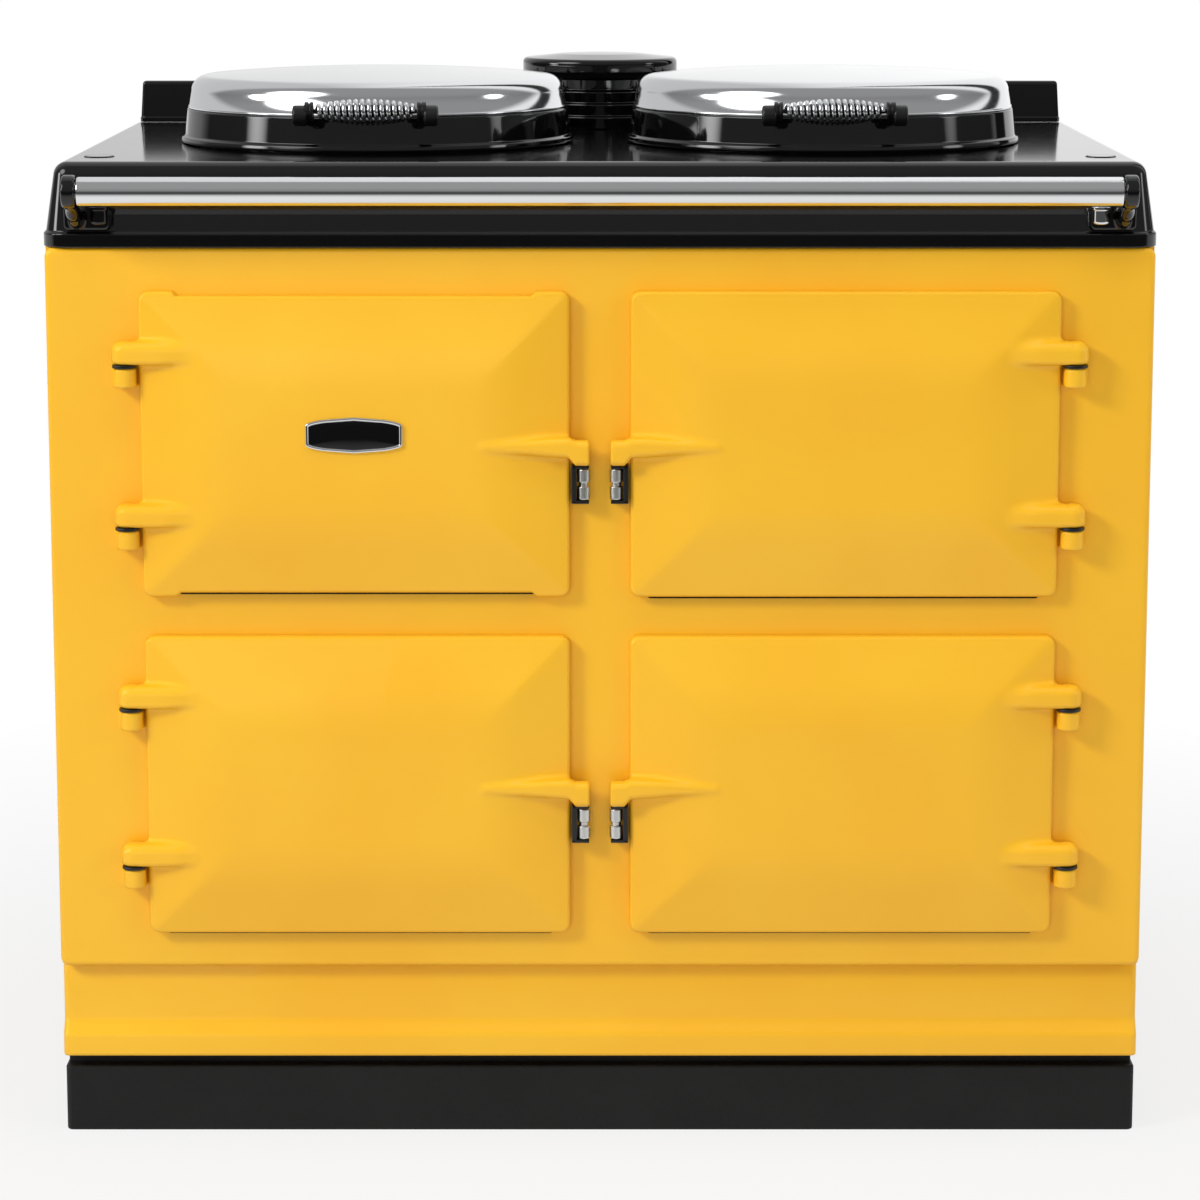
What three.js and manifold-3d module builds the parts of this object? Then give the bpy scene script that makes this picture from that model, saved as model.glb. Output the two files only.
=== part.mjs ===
// A cast iron range cooker: four hinged doors, two hinged hotplate lids, a towel rail and three ovens.
// Millimetres. +Z is up, the doors face -Y, +X is to the right of someone who stands in front.
// The origin is on the floor, at the middle of the cooker's outline seen from above.
// Every piece is a mesh of its own, and the sizes below drive all of them.

import * as THREE from 'three';
import { mergeVertices } from 'three/addons/utils/BufferGeometryUtils.js';
import Module from 'manifold-3d';

const wasm = await Module();
wasm.setup();

// ---------------------------------------------------------------------------------------------
// Driving dimensions
// ---------------------------------------------------------------------------------------------

// The whole cooker. Its depth runs from the front of the rail's brackets to the hob's rear lip.
const OVERALL_DEPTH = 698;
const FRONT_WIDTH = 987;
const HOB_HEIGHT = 895;
const SEAT_GAP = 0.3;

// How far a cut runs past the face that it opens, and a joined piece runs into the other.
const CUT_PAST = 1;

// Base casting and the dark neck above it.
const BASE_HEIGHT = 62;
const BASE_SETBACK = 16;
const BASE_CORNER_RADIUS = 6;
const BASE_WALL = 8;
const BASE_EDGE_EASE = 2;
const NECK_HEIGHT = 12;
const NECK_SETBACK = 28;
const NECK_SIDE_STEP = 2;

// Kick panel between the neck and the front plate.
const KICK_HEIGHT = 87;
const KICK_THICKNESS = 12;
const KICK_FACE_SETBACK = 14;
const KICK_TOE_SETBACK = 4.6;
const KICK_TOE_HEIGHT = 20;
const KICK_TOE_ROUND = 3.7;
const KICK_FLARE_HEIGHT = 14;
const KICK_FOOT_REACH = 20;
const KICK_FOOT_THICKNESS = 10;

// Front plate, side panels and back panel.
const PLATE_THICKNESS = 12;
const PLATE_CORNER_RADIUS = 8;
const PLATE_EDGE_ROUND = 5;
const SIDE_THICKNESS = 6;
const BACK_THICKNESS = 4;

// Hob: the enamelled top with its skirt and lip.
const HOB_DROP = 75;
const HOB_THICKNESS = 8;
const SKIRT_THICKNESS = 7;
const LIP_HEIGHT = 13;
const LIP_PROUD = 2.5;
const LIP_EASE = 1.5;
const LIP_SLOPE = 2;
const SKIRT_TAPER = 3.5;
const HOB_EDGE_ROUND = 12.5;
const HOB_CORNER_RADIUS = 22;

// Doors. All four are one casting, turned over for the left side.
// Their width follows from the front's, and their height from the space between the kick panel and the hob.
const DOOR_SIDE_MARGIN = 84;
const DOOR_COLUMN_GAP = 54;
const DOOR_ROW_GAP = 36;
const DOOR_BOTTOM_MARGIN = 35;
const DOOR_TOP_MARGIN = 38;
const DOOR_CORNER_RADIUS = 9;
const DOOR_BACK_GAP = 1;
const DOOR_RIM_PROUD = 12;
const DOOR_RIM_ROUND = 3;
const DOOR_BEVEL_WIDTH = 65;
const DOOR_BEVEL_RISE = 15;
const DOOR_KNEE = 4;
const DOOR_WALL = 7;
const DOOR_RIM_WALL = 12;
const POCKET_CORNER_RADIUS = 6;
const VENT_DEPTH = 4;
const VENT_END_INSET = 29.75;

// Oven mouth behind each door, and the inner liner that plugs it.
const MOUTH_SIDE_INSET = 21.25;
const MOUTH_TOP_INSET = 25;
const MOUTH_CORNER_RADIUS = 12;
const LINER_CLEARANCE = 5;
const LINER_REACH = 8;
const LINER_FLANGE = 5.5;
const LINER_EASE = 2;
const LINER_CORNER_RADIUS = 10;

// Door hinges.
const HINGE_OUTSET = 12.5;
const HINGE_FORWARD = 14;
const HINGE_ARM_RADIUS = 11.5;
const HINGE_ARM_HEIGHT = 20.4;
const HINGE_ARM_REACH = 56;
const HINGE_ARM_EASE = 2.5;
const HINGE_ARM_TIP_DROP = 7;
const HINGE_ARM_TIP_SLOPE = 2;
const HINGE_ARM_TIP_ROOT = 6;
const HINGE_ARM_SINK = 3.5;
const HINGE_ARM_UPPER = 83.5;
const HINGE_ARM_LOWER = -62.5;
const LUG_RADIUS = 10;
const LUG_HEIGHT = 17;
const PIN_RADIUS = 5;
const PIN_CLEARANCE = 0.4;
const PIN_LENGTH = 14;
const COLLAR_RADIUS = 11.2;
const COLLAR_HEIGHT = 3;

// A rounded edge is drawn in two flats. Its middle corner lies this share of the radius inside each face.
const EASE_MIDDLE = 0.3;

// Flat sides that stand in for each round form.
const PIN_SIDES = 10;
const KNOB_SIDES = 12;
const KNUCKLE_SIDES = 16;
const DISC_SIDES = 36;
const RAIL_SIDES = 16;
const FLUE_SIDES = 24;

// Door grip, cast with the door: a tapered arm that swells towards its end block.
const GRIP_GAP = 18.6;
const GRIP_ARM_REACH = 74;
const GRIP_ARM_HALF_HEIGHT = 9;
const GRIP_END_HALF_HEIGHT = 11.25;
const GRIP_END_DROP = 5.25;
const GRIP_HALF_DEPTH = 8;
const GRIP_FORWARD = 21;
const GRIP_BLOCK_OUTSET = 4;
const GRIP_ROOT_SINK = 4;
const GRIP_END_EASE = 1.5;

// Roller catches on the front plate, under the grips.
const CATCH_DROP = 17.5;
const CATCH_HEIGHT = 34.5;
const CATCH_DEPTH = 17;
const CATCH_SPINE = 4.6;
const CATCH_FLANGE = 3;
const CATCH_INNER_EDGE = 9.7;
const CATCH_EDGE_CLEARANCE = 1.5;
const ROLLER_RADIUS = 4.8;
const ROLLER_AXLE_RADIUS = 2;
const ROLLER_FORWARD = 11;

// Plain badge on the upper left door.
const BADGE_WIDTH = 86.5;
const BADGE_HEIGHT = 32.6;
const BADGE_END_HEIGHT = 22;
const BADGE_THICKNESS = 3;
const BADGE_EASE = 0.8;
const BADGE_RISE = 11.5;

// Hotplates and lids.
const HOTPLATE_RADIUS = 170;
const HOTPLATE_PROUD = 3;
const HOTPLATE_THICKNESS = 30;
const HOTPLATE_FLANGE = 8;
const HOTPLATE_FLANGE_THICKNESS = 6;
const HOTPLATE_CLEARANCE = 1;
const LID_SPACING = 425.4;
const LID_REAR_SETBACK = 334;
const LID_OVERLAP = 17.5;
const LID_LIFT = 1;
const LID_BEAD = 5;
const LID_BEAD_EASE = 1.5;
const LID_BEAD_STEP = 2;
const RING_HEIGHT = 33;
const RING_TAPER = 6;
const RING_LEDGE = 10;
const RING_FLOOR = 6;
const RING_INNER_CLEARANCE = 4;
const DOME_INSET = 1.5;
const DOME_SHOULDER_WIDTH = 27;
const DOME_SHOULDER_HEIGHT = 62.5;
const DOME_HEIGHT = 71;
const DOME_WALL = 2.5;
const DOME_BULGE = 0.84;

// Lid hinges, behind the lids.
const LID_HINGE_SETBACK = 29.5;
const LID_HINGE_HEIGHT = 25;
const KNUCKLE_RADIUS = 11;
const KNUCKLE_LENGTH = 50;
const TONGUE_THICKNESS = 18;
const TONGUE_DROP = 1;
const TONGUE_ROOT = 3;
const LID_PIN_RADIUS = 5;
const EAR_THICKNESS = 8;
const EAR_CLEARANCE = 1;
const HINGE_FOOT_DEPTH = 34;
const HINGE_FOOT_THICKNESS = 5;

// Coil handles on the lids.
const COIL_OUTREACH = 12.5;
const COIL_HEIGHT = 40;
const COIL_TURNS = 15.5;
const COIL_LENGTH = 88;
const COIL_WIRE = 4.4;
const COIL_MIDDLE_DIAMETER = 23;
const COIL_END_DIAMETER = 14;
const COIL_STEPS = 8;
const COIL_SIDES = 5;
const FERRULE_LENGTH = 6;
const FERRULE_RADIUS = 8.5;
const FERRULE_GAP = 0.8;
const FERRULE_ROOT = 2;
const POST_WIDTH = 13;
const POST_HEIGHT = 21.5;
const POST_BASE = 23.5;
const POST_NOSE = 6.5;
const POST_ROOT = 20;
const POST_EASE = 1;
const POST_CORNER_RADIUS = 2;

// Towel rail and its two brackets.
const RAIL_DIAMETER = 25.4;
const RAIL_STANDOFF = 55;
const RAIL_END_INSET = 37.5;
const RAIL_DROP = 21;
const RAIL_END_ROUND = 5;
const RAIL_SPIGOT_RADIUS = 8;
const RAIL_SPIGOT_LENGTH = 7;
const BOSS_RADIUS = 14.5;
const BRACKET_WIDTH = 12;
const BRACKET_FOOT_OUTWARD = 12;
const BRACKET_FOOT_INWARD = 28;
const BRACKET_ARM_SHARE = 0.7;
const BRACKET_FILLET = 4;
const BRACKET_FOOT_THICKNESS = 6;
const BRACKET_FOOT_DROP = 59;
const BRACKET_FOOT_HEIGHT = 22;

// Upstand along the back of the hob, and the flue outlet in front of it.
const UPSTAND_END_INSET = 17.5;
const UPSTAND_END_TAPER = 2.5;
const UPSTAND_HEIGHT = 42;
const UPSTAND_REAR_SETBACK = 19;
const UPSTAND_DEPTH = 20;
const UPSTAND_EDGE_ROUND = 5;
const FLUE_REAR_SETBACK = 104;
const FLUE_BODY_RADIUS = 60;
const FLUE_BAND_HEIGHT = 12.6;
const FLUE_BAND_STEP = 3.5;
const FLUE_BANDS = 4;
const FLUE_CAP_RADIUS = 78;
const FLUE_CAP_THICKNESS = 24;
const FLUE_CAP_DOME = 4;
const FLUE_CAP_ROUND = 9;

// Ovens, the control compartment and what is in them.
const OVEN_DEPTH = 460;
const OVEN_WALL = 6;
const OVEN_FLANGE = 6;
const OVEN_FLANGE_THICKNESS = 6;
const OVEN_FLANGE_CORNER_RADIUS = 14;
const OVEN_CORNER_RADIUS = 8;
const RUNNER_WIDTH = 8;
const RUNNER_THICKNESS = 5;
const RUNNER_SPACING = 50;
const RUNNER_FRONT_SETBACK = 25;
const RUNNER_PAIRS = 3;
const SHELF_DEPTH = 400;
const SHELF_THICKNESS = 6;
const SHELF_SIDE_CLEARANCE = 1.5;
const SHELF_BARS = 9;
const SHELF_BAR_WIDTH = 7;
const SHELF_RIM_WIDTH = 12;
const SHELF_CORNER_RADIUS = 10;
const CONTROL_DEPTH = 110;
const CONTROL_WALL = 3;
const KNOB_RADIUS = 22;
const KNOB_HEIGHT = 24;
const KNOB_SKIRT_HEIGHT = 6;
const KNOB_NECK = 4;
const KNOB_TAPER = 2;
const KNOB_BAR_WIDTH = 6;
const KNOB_BAR_RISE = 3;
const KNOB_BAR_INSET = 2;
const KNOB_SHAFT_REACH = 6;
const KNOB_SPACING = 90;
const KNOB_SHAFT_RADIUS = 4;
const KNOB_SHAFT_CLEARANCE = 0.4;
const KNOB_COUNT = 3;

// ---------------------------------------------------------------------------------------------
// Places worked out from the sizes above
// ---------------------------------------------------------------------------------------------

const LEFT = -1;
const RIGHT = 1;

const frontY = -OVERALL_DEPTH / 2 + BOSS_RADIUS + RAIL_STANDOFF;
const hobRearY = OVERALL_DEPTH / 2;
const cabinetRearY = hobRearY - LIP_PROUD;
const neckTop = BASE_HEIGHT + NECK_HEIGHT;
const kickBottom = neckTop + SEAT_GAP;
const kickTop = neckTop + KICK_HEIGHT;
const kickBack = KICK_FACE_SETBACK + KICK_THICKNESS;
const plateBottom = kickTop + SEAT_GAP;
const hobBottom = HOB_HEIGHT - HOB_DROP;
const plateTop = hobBottom - SEAT_GAP;
const railZ = HOB_HEIGHT - RAIL_DROP;
const bracketFootZ = HOB_HEIGHT - BRACKET_FOOT_DROP;

const doorWidth = (FRONT_WIDTH - DOOR_COLUMN_GAP) / 2 - DOOR_SIDE_MARGIN;
const mouthWidth = doorWidth - 2 * MOUTH_SIDE_INSET;
const doorRows = hobBottom - DOOR_TOP_MARGIN - kickTop - DOOR_BOTTOM_MARGIN;
const doorHeight = (doorRows - DOOR_ROW_GAP) / 2;
const mouthHeight = doorHeight - 2 * MOUTH_TOP_INSET;
const doorCentreX = DOOR_COLUMN_GAP / 2 + doorWidth / 2;
const lowerDoorZ = kickTop + DOOR_BOTTOM_MARGIN + doorHeight / 2;
const upperDoorZ = lowerDoorZ + doorHeight + DOOR_ROW_GAP;
const doorFaceProud = DOOR_RIM_PROUD + DOOR_BEVEL_RISE;
const hingeX = doorWidth / 2 + HINGE_OUTSET;
const collarStack = COLLAR_HEIGHT + 2 * SEAT_GAP;
const armOffsets = [HINGE_ARM_UPPER, HINGE_ARM_LOWER];

const ovenFrontY = frontY + PLATE_THICKNESS + SEAT_GAP;
const lidRadius = HOTPLATE_RADIUS + LID_OVERLAP;
const ringTopRadius = lidRadius - RING_TAPER;
const domeRadius = ringTopRadius - DOME_INSET;
const domeShoulderRadius = domeRadius - DOME_SHOULDER_WIDTH;
const coilForward = lidRadius + COIL_OUTREACH;
const lidCentreY = hobRearY - LID_REAR_SETBACK;
const lidHingeY = lidRadius + LID_HINGE_SETBACK;
const flueCentreY = hobRearY - FLUE_REAR_SETBACK;
const flueTop = HOB_HEIGHT + SEAT_GAP + FLUE_BANDS * FLUE_BAND_HEIGHT;
const railLength = FRONT_WIDTH - 2 * RAIL_END_INSET;
const coilOuterReach = COIL_LENGTH / 2 + COIL_WIRE / 2 + FERRULE_GAP;
const postInnerX = coilOuterReach + FERRULE_LENGTH;
const coilStepShrink = Math.cos(Math.PI / COIL_STEPS);

const doorPlaces = [
  { name: 'top_left', side: LEFT, z: upperDoorZ },
  { name: 'top_right', side: RIGHT, z: upperDoorZ },
  { name: 'bottom_left', side: LEFT, z: lowerDoorZ },
  { name: 'bottom_right', side: RIGHT, z: lowerDoorZ },
];

// ---------------------------------------------------------------------------------------------
// Finishes
// ---------------------------------------------------------------------------------------------

function finish(color, roughness, metalness) {
  return new THREE.MeshStandardMaterial({ color, roughness, metalness });
}

const yellowEnamel = () => finish('#f4c043', 0.22, 0);
const blackEnamel = () => finish('#0b0c0e', 0.12, 0);
const satinBlack = () => finish('#1f1f1f', 0.5, 0);
const chrome = () => finish('#e6e8ea', 0.08, 1);
const brightSteel = () => finish('#c9c9c6', 0.3, 1);
const castIron = () => finish('#4a4a4b', 0.6, 0.8);
const greyEnamel = () => finish('#2b2c2e', 0.45, 0);
const linerSteel = () => finish('#a9aaa8', 0.4, 0.9);

// ---------------------------------------------------------------------------------------------
// Geometry helpers
// ---------------------------------------------------------------------------------------------

// Drops normals and texture coordinates, merges shared corners and removes empty triangles.
function closed(geometry) {
  const bare = geometry.clone();
  bare.deleteAttribute('normal');
  bare.deleteAttribute('uv');
  const merged = mergeVertices(bare, 1e-4);
  const corners = merged.index.array;
  const kept = [];
  for (let i = 0; i < corners.length; i += 3) {
    const [a, b, c] = corners.slice(i, i + 3);
    if (a !== b && b !== c && c !== a) {
      kept.push(a, b, c);
    }
  }
  merged.setIndex(kept);
  return merged;
}

// Six times the volume that the faces enclose, negative when they point inwards.
function signedVolume(geometry) {
  const corner = [0, 1, 2].map(() => new THREE.Vector3());
  const places = geometry.attributes.position;
  let total = 0;
  for (let i = 0; i < geometry.index.count; i += 3) {
    corner.forEach((point, k) => point.fromBufferAttribute(places, geometry.index.getX(i + k)));
    total += corner[0].dot(corner[1].cross(corner[2]));
  }
  return total;
}

// Makes every face of a closed shape point outwards.
function outward(geometry) {
  const shape = closed(geometry);
  if (signedVolume(shape) < 0) {
    shape.setIndex(Array.from(shape.index.array).reverse());
  }
  return shape;
}

function toSolid(geometry) {
  const shape = outward(geometry);
  const vertProperties = Float32Array.from(shape.attributes.position.array);
  const triVerts = Uint32Array.from(shape.index.array);
  return new wasm.Manifold(new wasm.Mesh({ numProp: 3, vertProperties, triVerts }));
}

function fromSolid(solid) {
  const mesh = solid.getMesh();
  const geometry = new THREE.BufferGeometry();
  geometry.setAttribute('position', new THREE.BufferAttribute(mesh.vertProperties, mesh.numProp));
  geometry.setIndex(new THREE.BufferAttribute(mesh.triVerts, 1));
  return geometry;
}

function join(...shapes) {
  return fromSolid(shapes.map(toSolid).reduce((whole, piece) => whole.add(piece)));
}

function cut(shape, ...tools) {
  return fromSolid(tools.map(toSolid).reduce((whole, tool) => whole.subtract(tool), toSolid(shape)));
}

// The same shape turned over from right to left.
function mirrored(geometry) {
  return outward(geometry.clone().scale(-1, 1, 1));
}

function sided(geometry, side) {
  return side === LEFT ? mirrored(geometry) : geometry;
}

// Corner points of a rounded rectangle round the origin, anticlockwise.
function roundedRectangle(width, height, radius, steps = 4) {
  const points = [];
  for (let corner = 0; corner < 4; corner += 1) {
    const signX = corner === 0 || corner === 3 ? 1 : -1;
    const signY = corner < 2 ? 1 : -1;
    for (let step = 0; step <= steps; step += 1) {
      const angle = ((corner + step / steps) * Math.PI) / 2;
      const x = signX * (width / 2 - radius) + radius * Math.cos(angle);
      const y = signY * (height / 2 - radius) + radius * Math.sin(angle);
      points.push(new THREE.Vector2(x, y));
    }
  }
  return points;
}

// A closed skin over rings that have the same number of points.
function loft(rings) {
  const count = rings[0].length;
  const last = (rings.length - 1) * count;
  const index = [];
  for (let ring = 0; ring < rings.length - 1; ring += 1) {
    for (let i = 0; i < count; i += 1) {
      const a = ring * count + i;
      const b = ring * count + ((i + 1) % count);
      index.push(a, b, b + count, a, b + count, a + count);
    }
  }
  for (let i = 1; i < count - 1; i += 1) {
    index.push(0, i + 1, i, last, last + i, last + i + 1);
  }
  const geometry = new THREE.BufferGeometry();
  const places = rings.flat().flatMap((point) => point.toArray());
  geometry.setAttribute('position', new THREE.Float32BufferAttribute(places, 3));
  geometry.setIndex(index);
  return outward(geometry);
}

// Rounded rectangles stacked along Z. Each layer is { z, width, depth, radius }.
function stack(layers, steps) {
  return loft(layers.map(({ z, width, depth, radius }) =>
    roundedRectangle(width, depth, radius, steps).map((p) => new THREE.Vector3(p.x, p.y, z))));
}

// Turns a shape that was built upwards so that its top faces the front.
function facingFront(geometry) {
  return geometry.rotateX(Math.PI / 2);
}

// A shape turned about a vertical axis. Its profile is a list of [radius, height].
function turned(profile, segments) {
  const points = profile.map(([radius, height]) => new THREE.Vector2(radius, height));
  return outward(new THREE.LatheGeometry(points, segments).rotateX(Math.PI / 2));
}

function cylinder(radius, bottom, top, segments = 20) {
  return turned([[0, bottom], [radius, bottom], [radius, top], [0, top]], segments);
}

function block(x0, x1, y0, y1, z0, z1) {
  const box = new THREE.BoxGeometry(x1 - x0, y1 - y0, z1 - z0);
  return box.translate((x0 + x1) / 2, (y0 + y1) / 2, (z0 + z1) / 2);
}

function outline(points) {
  return new THREE.Shape(points.map(([x, y]) => new THREE.Vector2(x, y)));
}

// A flat outline given a thickness along Z, with its two rims eased where ease is given.
function prism(shape, thickness, ease = 0, curveSegments = 6) {
  const settings = { depth: thickness - 2 * ease, bevelEnabled: ease > 0, curveSegments };
  Object.assign(settings, { bevelThickness: ease, bevelSize: ease, bevelOffset: -ease, bevelSegments: 1 });
  return new THREE.ExtrudeGeometry(shape, settings).translate(0, 0, ease);
}

// An outline in side view, [y, z], carried along X from one end to the other.
function alongX(points, x0, x1) {
  const shape = outline(points);
  const solid = prism(shape, x1 - x0);
  solid.applyMatrix4(new THREE.Matrix4().set(0, 0, 1, x0, 1, 0, 0, 0, 0, 1, 0, 0, 0, 0, 0, 1));
  return outward(solid);
}

// Points along part of an ellipse, from angle a0 to a1 in degrees.
function arc(centreX, centreY, radiusX, radiusY, a0, a1, steps) {
  return Array.from({ length: steps + 1 }, (_, k) => {
    const angle = THREE.MathUtils.degToRad(a0 + ((a1 - a0) * k) / steps);
    return [centreX + radiusX * Math.cos(angle), centreY + radiusY * Math.sin(angle)];
  });
}

// ---------------------------------------------------------------------------------------------
// Cabinet
// ---------------------------------------------------------------------------------------------

// A hollow casting, open underneath, that stands on its walls.
function basePlinth() {
  const depth = cabinetRearY - frontY - 2 * BASE_SETBACK;
  const neckDepth = cabinetRearY - frontY - 2 * NECK_SETBACK;
  const neckWidth = FRONT_WIDTH - 2 * NECK_SIDE_STEP;
  const ease = BASE_EDGE_EASE;
  const base = stack([
    { z: 0, width: FRONT_WIDTH - 2 * ease, depth: depth - 2 * ease, radius: BASE_CORNER_RADIUS },
    { z: ease, width: FRONT_WIDTH, depth, radius: BASE_CORNER_RADIUS },
    { z: BASE_HEIGHT - ease, width: FRONT_WIDTH, depth, radius: BASE_CORNER_RADIUS },
    { z: BASE_HEIGHT, width: FRONT_WIDTH - 2 * ease, depth: depth - 2 * ease, radius: BASE_CORNER_RADIUS },
  ], 3);
  const [neckX, neckY] = [neckWidth / 2, neckDepth / 2];
  const neck = block(-neckX, neckX, -neckY, neckY, BASE_HEIGHT / 2, neckTop);
  const roomX = FRONT_WIDTH / 2 - BASE_WALL;
  const roomY = depth / 2 - BASE_WALL;
  const room = block(-roomX, roomX, -roomY, roomY, -CUT_PAST, BASE_HEIGHT - BASE_WALL);
  return cut(join(base, neck), room).translate(0, (frontY + cabinetRearY) / 2, 0);
}

// The kick panel's face sweeps forward to a toe at its foot, and a ledge behind stands on the neck.
function kickPanel() {
  const toeTop = kickBottom + KICK_TOE_HEIGHT;
  const sweep = KICK_FACE_SETBACK - KICK_TOE_SETBACK;
  const round = KICK_TOE_ROUND;
  const profile = [
    ...arc(KICK_TOE_SETBACK + round, kickBottom + round, round, round, 270, 180, 3),
    ...arc(KICK_TOE_SETBACK, toeTop + KICK_FLARE_HEIGHT, sweep, KICK_FLARE_HEIGHT, 270, 360, 5),
    [KICK_FACE_SETBACK, kickTop],
    [kickBack, kickTop],
    [kickBack, kickBottom],
  ];
  const panel = alongX(profile, -FRONT_WIDTH / 2, FRONT_WIDTH / 2);
  const half = FRONT_WIDTH / 2 - SIDE_THICKNESS - SEAT_GAP;
  const footTop = kickBottom + KICK_FOOT_THICKNESS;
  const footBack = kickBack + KICK_FOOT_REACH;
  const foot = block(-half, half, kickBack - CUT_PAST, footBack, kickBottom, footTop);
  return join(panel, foot).translate(0, frontY, 0);
}

// A lug that carries a hinge pin: round in front of the pin, straight back to the plate.
function hingeLug(side, armBottom) {
  const shape = new THREE.Shape();
  shape.moveTo(LUG_RADIUS, CUT_PAST);
  shape.lineTo(-LUG_RADIUS, CUT_PAST);
  shape.absarc(0, -HINGE_FORWARD, LUG_RADIUS, Math.PI, 2 * Math.PI, false);
  const lug = prism(shape, LUG_HEIGHT, 0, 5);
  const top = armBottom - collarStack;
  return lug.translate(side * (doorCentreX + hingeX), 0, top - LUG_HEIGHT);
}

function lugHole(side, armBottom) {
  const top = armBottom - collarStack;
  const hole = cylinder(PIN_RADIUS + PIN_CLEARANCE, top - PIN_LENGTH, top + CUT_PAST, PIN_SIDES);
  return hole.translate(side * (doorCentreX + hingeX), -HINGE_FORWARD, 0);
}

function frontPlate() {
  const height = plateTop - plateBottom;
  const layer = (z, inset) => ({
    z,
    width: FRONT_WIDTH - 2 * inset,
    depth: height - 2 * inset,
    radius: PLATE_CORNER_RADIUS,
  });
  const round = PLATE_EDGE_ROUND;
  const middle = round * EASE_MIDDLE;
  const layers = [layer(-PLATE_THICKNESS, 0), layer(-round, 0), layer(-middle, middle), layer(0, round)];
  const plate = facingFront(stack(layers, 3)).translate(0, 0, (plateTop + plateBottom) / 2);
  const lugs = [];
  const holes = [];
  for (const place of doorPlaces) {
    const mouth = roundedRectangle(mouthWidth, mouthHeight, MOUTH_CORNER_RADIUS, 2);
    const cutter = prism(new THREE.Shape(mouth), 3 * PLATE_THICKNESS).translate(0, 0, -2 * PLATE_THICKNESS);
    holes.push(facingFront(cutter).translate(place.side * doorCentreX, 0, place.z));
    for (const offset of armOffsets) {
      const armBottom = place.z + offset - HINGE_ARM_HEIGHT / 2;
      lugs.push(hingeLug(place.side, armBottom));
      holes.push(lugHole(place.side, armBottom));
    }
  }
  return cut(join(plate, ...lugs), ...holes).translate(0, frontY, 0);
}

// A flat side panel, notched at its lower front corner for the kick panel.
function sidePanel(side) {
  const front = ovenFrontY;
  const notchY = frontY + kickBack + SEAT_GAP;
  const rear = cabinetRearY - BACK_THICKNESS - SEAT_GAP;
  const profile = [
    [notchY, kickBottom],
    [rear, kickBottom],
    [rear, plateTop],
    [front, plateTop],
    [front, plateBottom],
    [notchY, plateBottom],
  ];
  return sided(alongX(profile, FRONT_WIDTH / 2 - SIDE_THICKNESS, FRONT_WIDTH / 2), side);
}

function backPanel() {
  const half = FRONT_WIDTH / 2;
  return block(-half, half, cabinetRearY - BACK_THICKNESS, cabinetRearY, kickBottom, plateTop);
}

// ---------------------------------------------------------------------------------------------
// Hob
// ---------------------------------------------------------------------------------------------

function hobLayer(z, proud) {
  const width = FRONT_WIDTH + 2 * proud;
  const depth = cabinetRearY - frontY + 2 * proud;
  return { z, width, depth, radius: Math.max(HOB_CORNER_RADIUS + proud, 2) };
}

function topPlate() {
  const round = HOB_EDGE_ROUND;
  const shoulder = arc(-SKIRT_TAPER - round, HOB_HEIGHT - round, round, round, 0, 90, 4);
  const outer = stack([
    hobLayer(hobBottom, LIP_PROUD - LIP_EASE),
    hobLayer(hobBottom + LIP_EASE, LIP_PROUD),
    hobLayer(hobBottom + LIP_HEIGHT - LIP_SLOPE, LIP_PROUD),
    hobLayer(hobBottom + LIP_HEIGHT, 0),
    ...shoulder.map(([proud, z]) => hobLayer(z, proud)),
  ], 5);
  const inner = stack([
    hobLayer(hobBottom - CUT_PAST, -SKIRT_THICKNESS),
    hobLayer(HOB_HEIGHT - HOB_THICKNESS, -SKIRT_THICKNESS - SKIRT_TAPER),
  ], 5);
  const middleY = (frontY + cabinetRearY) / 2;
  const shell = cut(outer, inner).translate(0, middleY, 0);
  const holes = [LEFT, RIGHT].map((side) => {
    const radius = HOTPLATE_RADIUS + HOTPLATE_CLEARANCE;
    const hole = cylinder(radius, hobBottom, HOB_HEIGHT + CUT_PAST, DISC_SIDES);
    return hole.translate((side * LID_SPACING) / 2, lidCentreY, 0);
  });
  return cut(shell, ...holes);
}

function upstand() {
  const middleY = hobRearY - UPSTAND_REAR_SETBACK - UPSTAND_DEPTH / 2;
  const footWidth = FRONT_WIDTH - 2 * UPSTAND_END_INSET;
  const topWidth = footWidth - 2 * UPSTAND_END_TAPER;
  const bottom = HOB_HEIGHT + SEAT_GAP;
  const top = bottom + UPSTAND_HEIGHT;
  const layer = (z, width, inset) => ({
    z,
    width: width - 2 * inset,
    depth: UPSTAND_DEPTH - 2 * inset,
    radius: UPSTAND_EDGE_ROUND,
  });
  const round = UPSTAND_EDGE_ROUND;
  return stack([
    layer(bottom, footWidth, 0),
    layer(top - round, topWidth, 0),
    layer(top - round * EASE_MIDDLE, topWidth, round * EASE_MIDDLE),
    layer(top, topWidth, round),
  ], 3).translate(0, middleY, 0);
}

// The flue outlet steps in at each band on its way up to the cap.
function flueBody() {
  const profile = [[0, HOB_HEIGHT + SEAT_GAP]];
  for (let band = 0; band < FLUE_BANDS; band += 1) {
    const radius = FLUE_BODY_RADIUS - band * FLUE_BAND_STEP;
    const bottom = HOB_HEIGHT + SEAT_GAP + band * FLUE_BAND_HEIGHT;
    profile.push([radius, bottom], [radius, bottom + FLUE_BAND_HEIGHT]);
  }
  profile.push([0, flueTop]);
  return turned(profile, FLUE_SIDES).translate(0, flueCentreY, 0);
}

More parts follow.
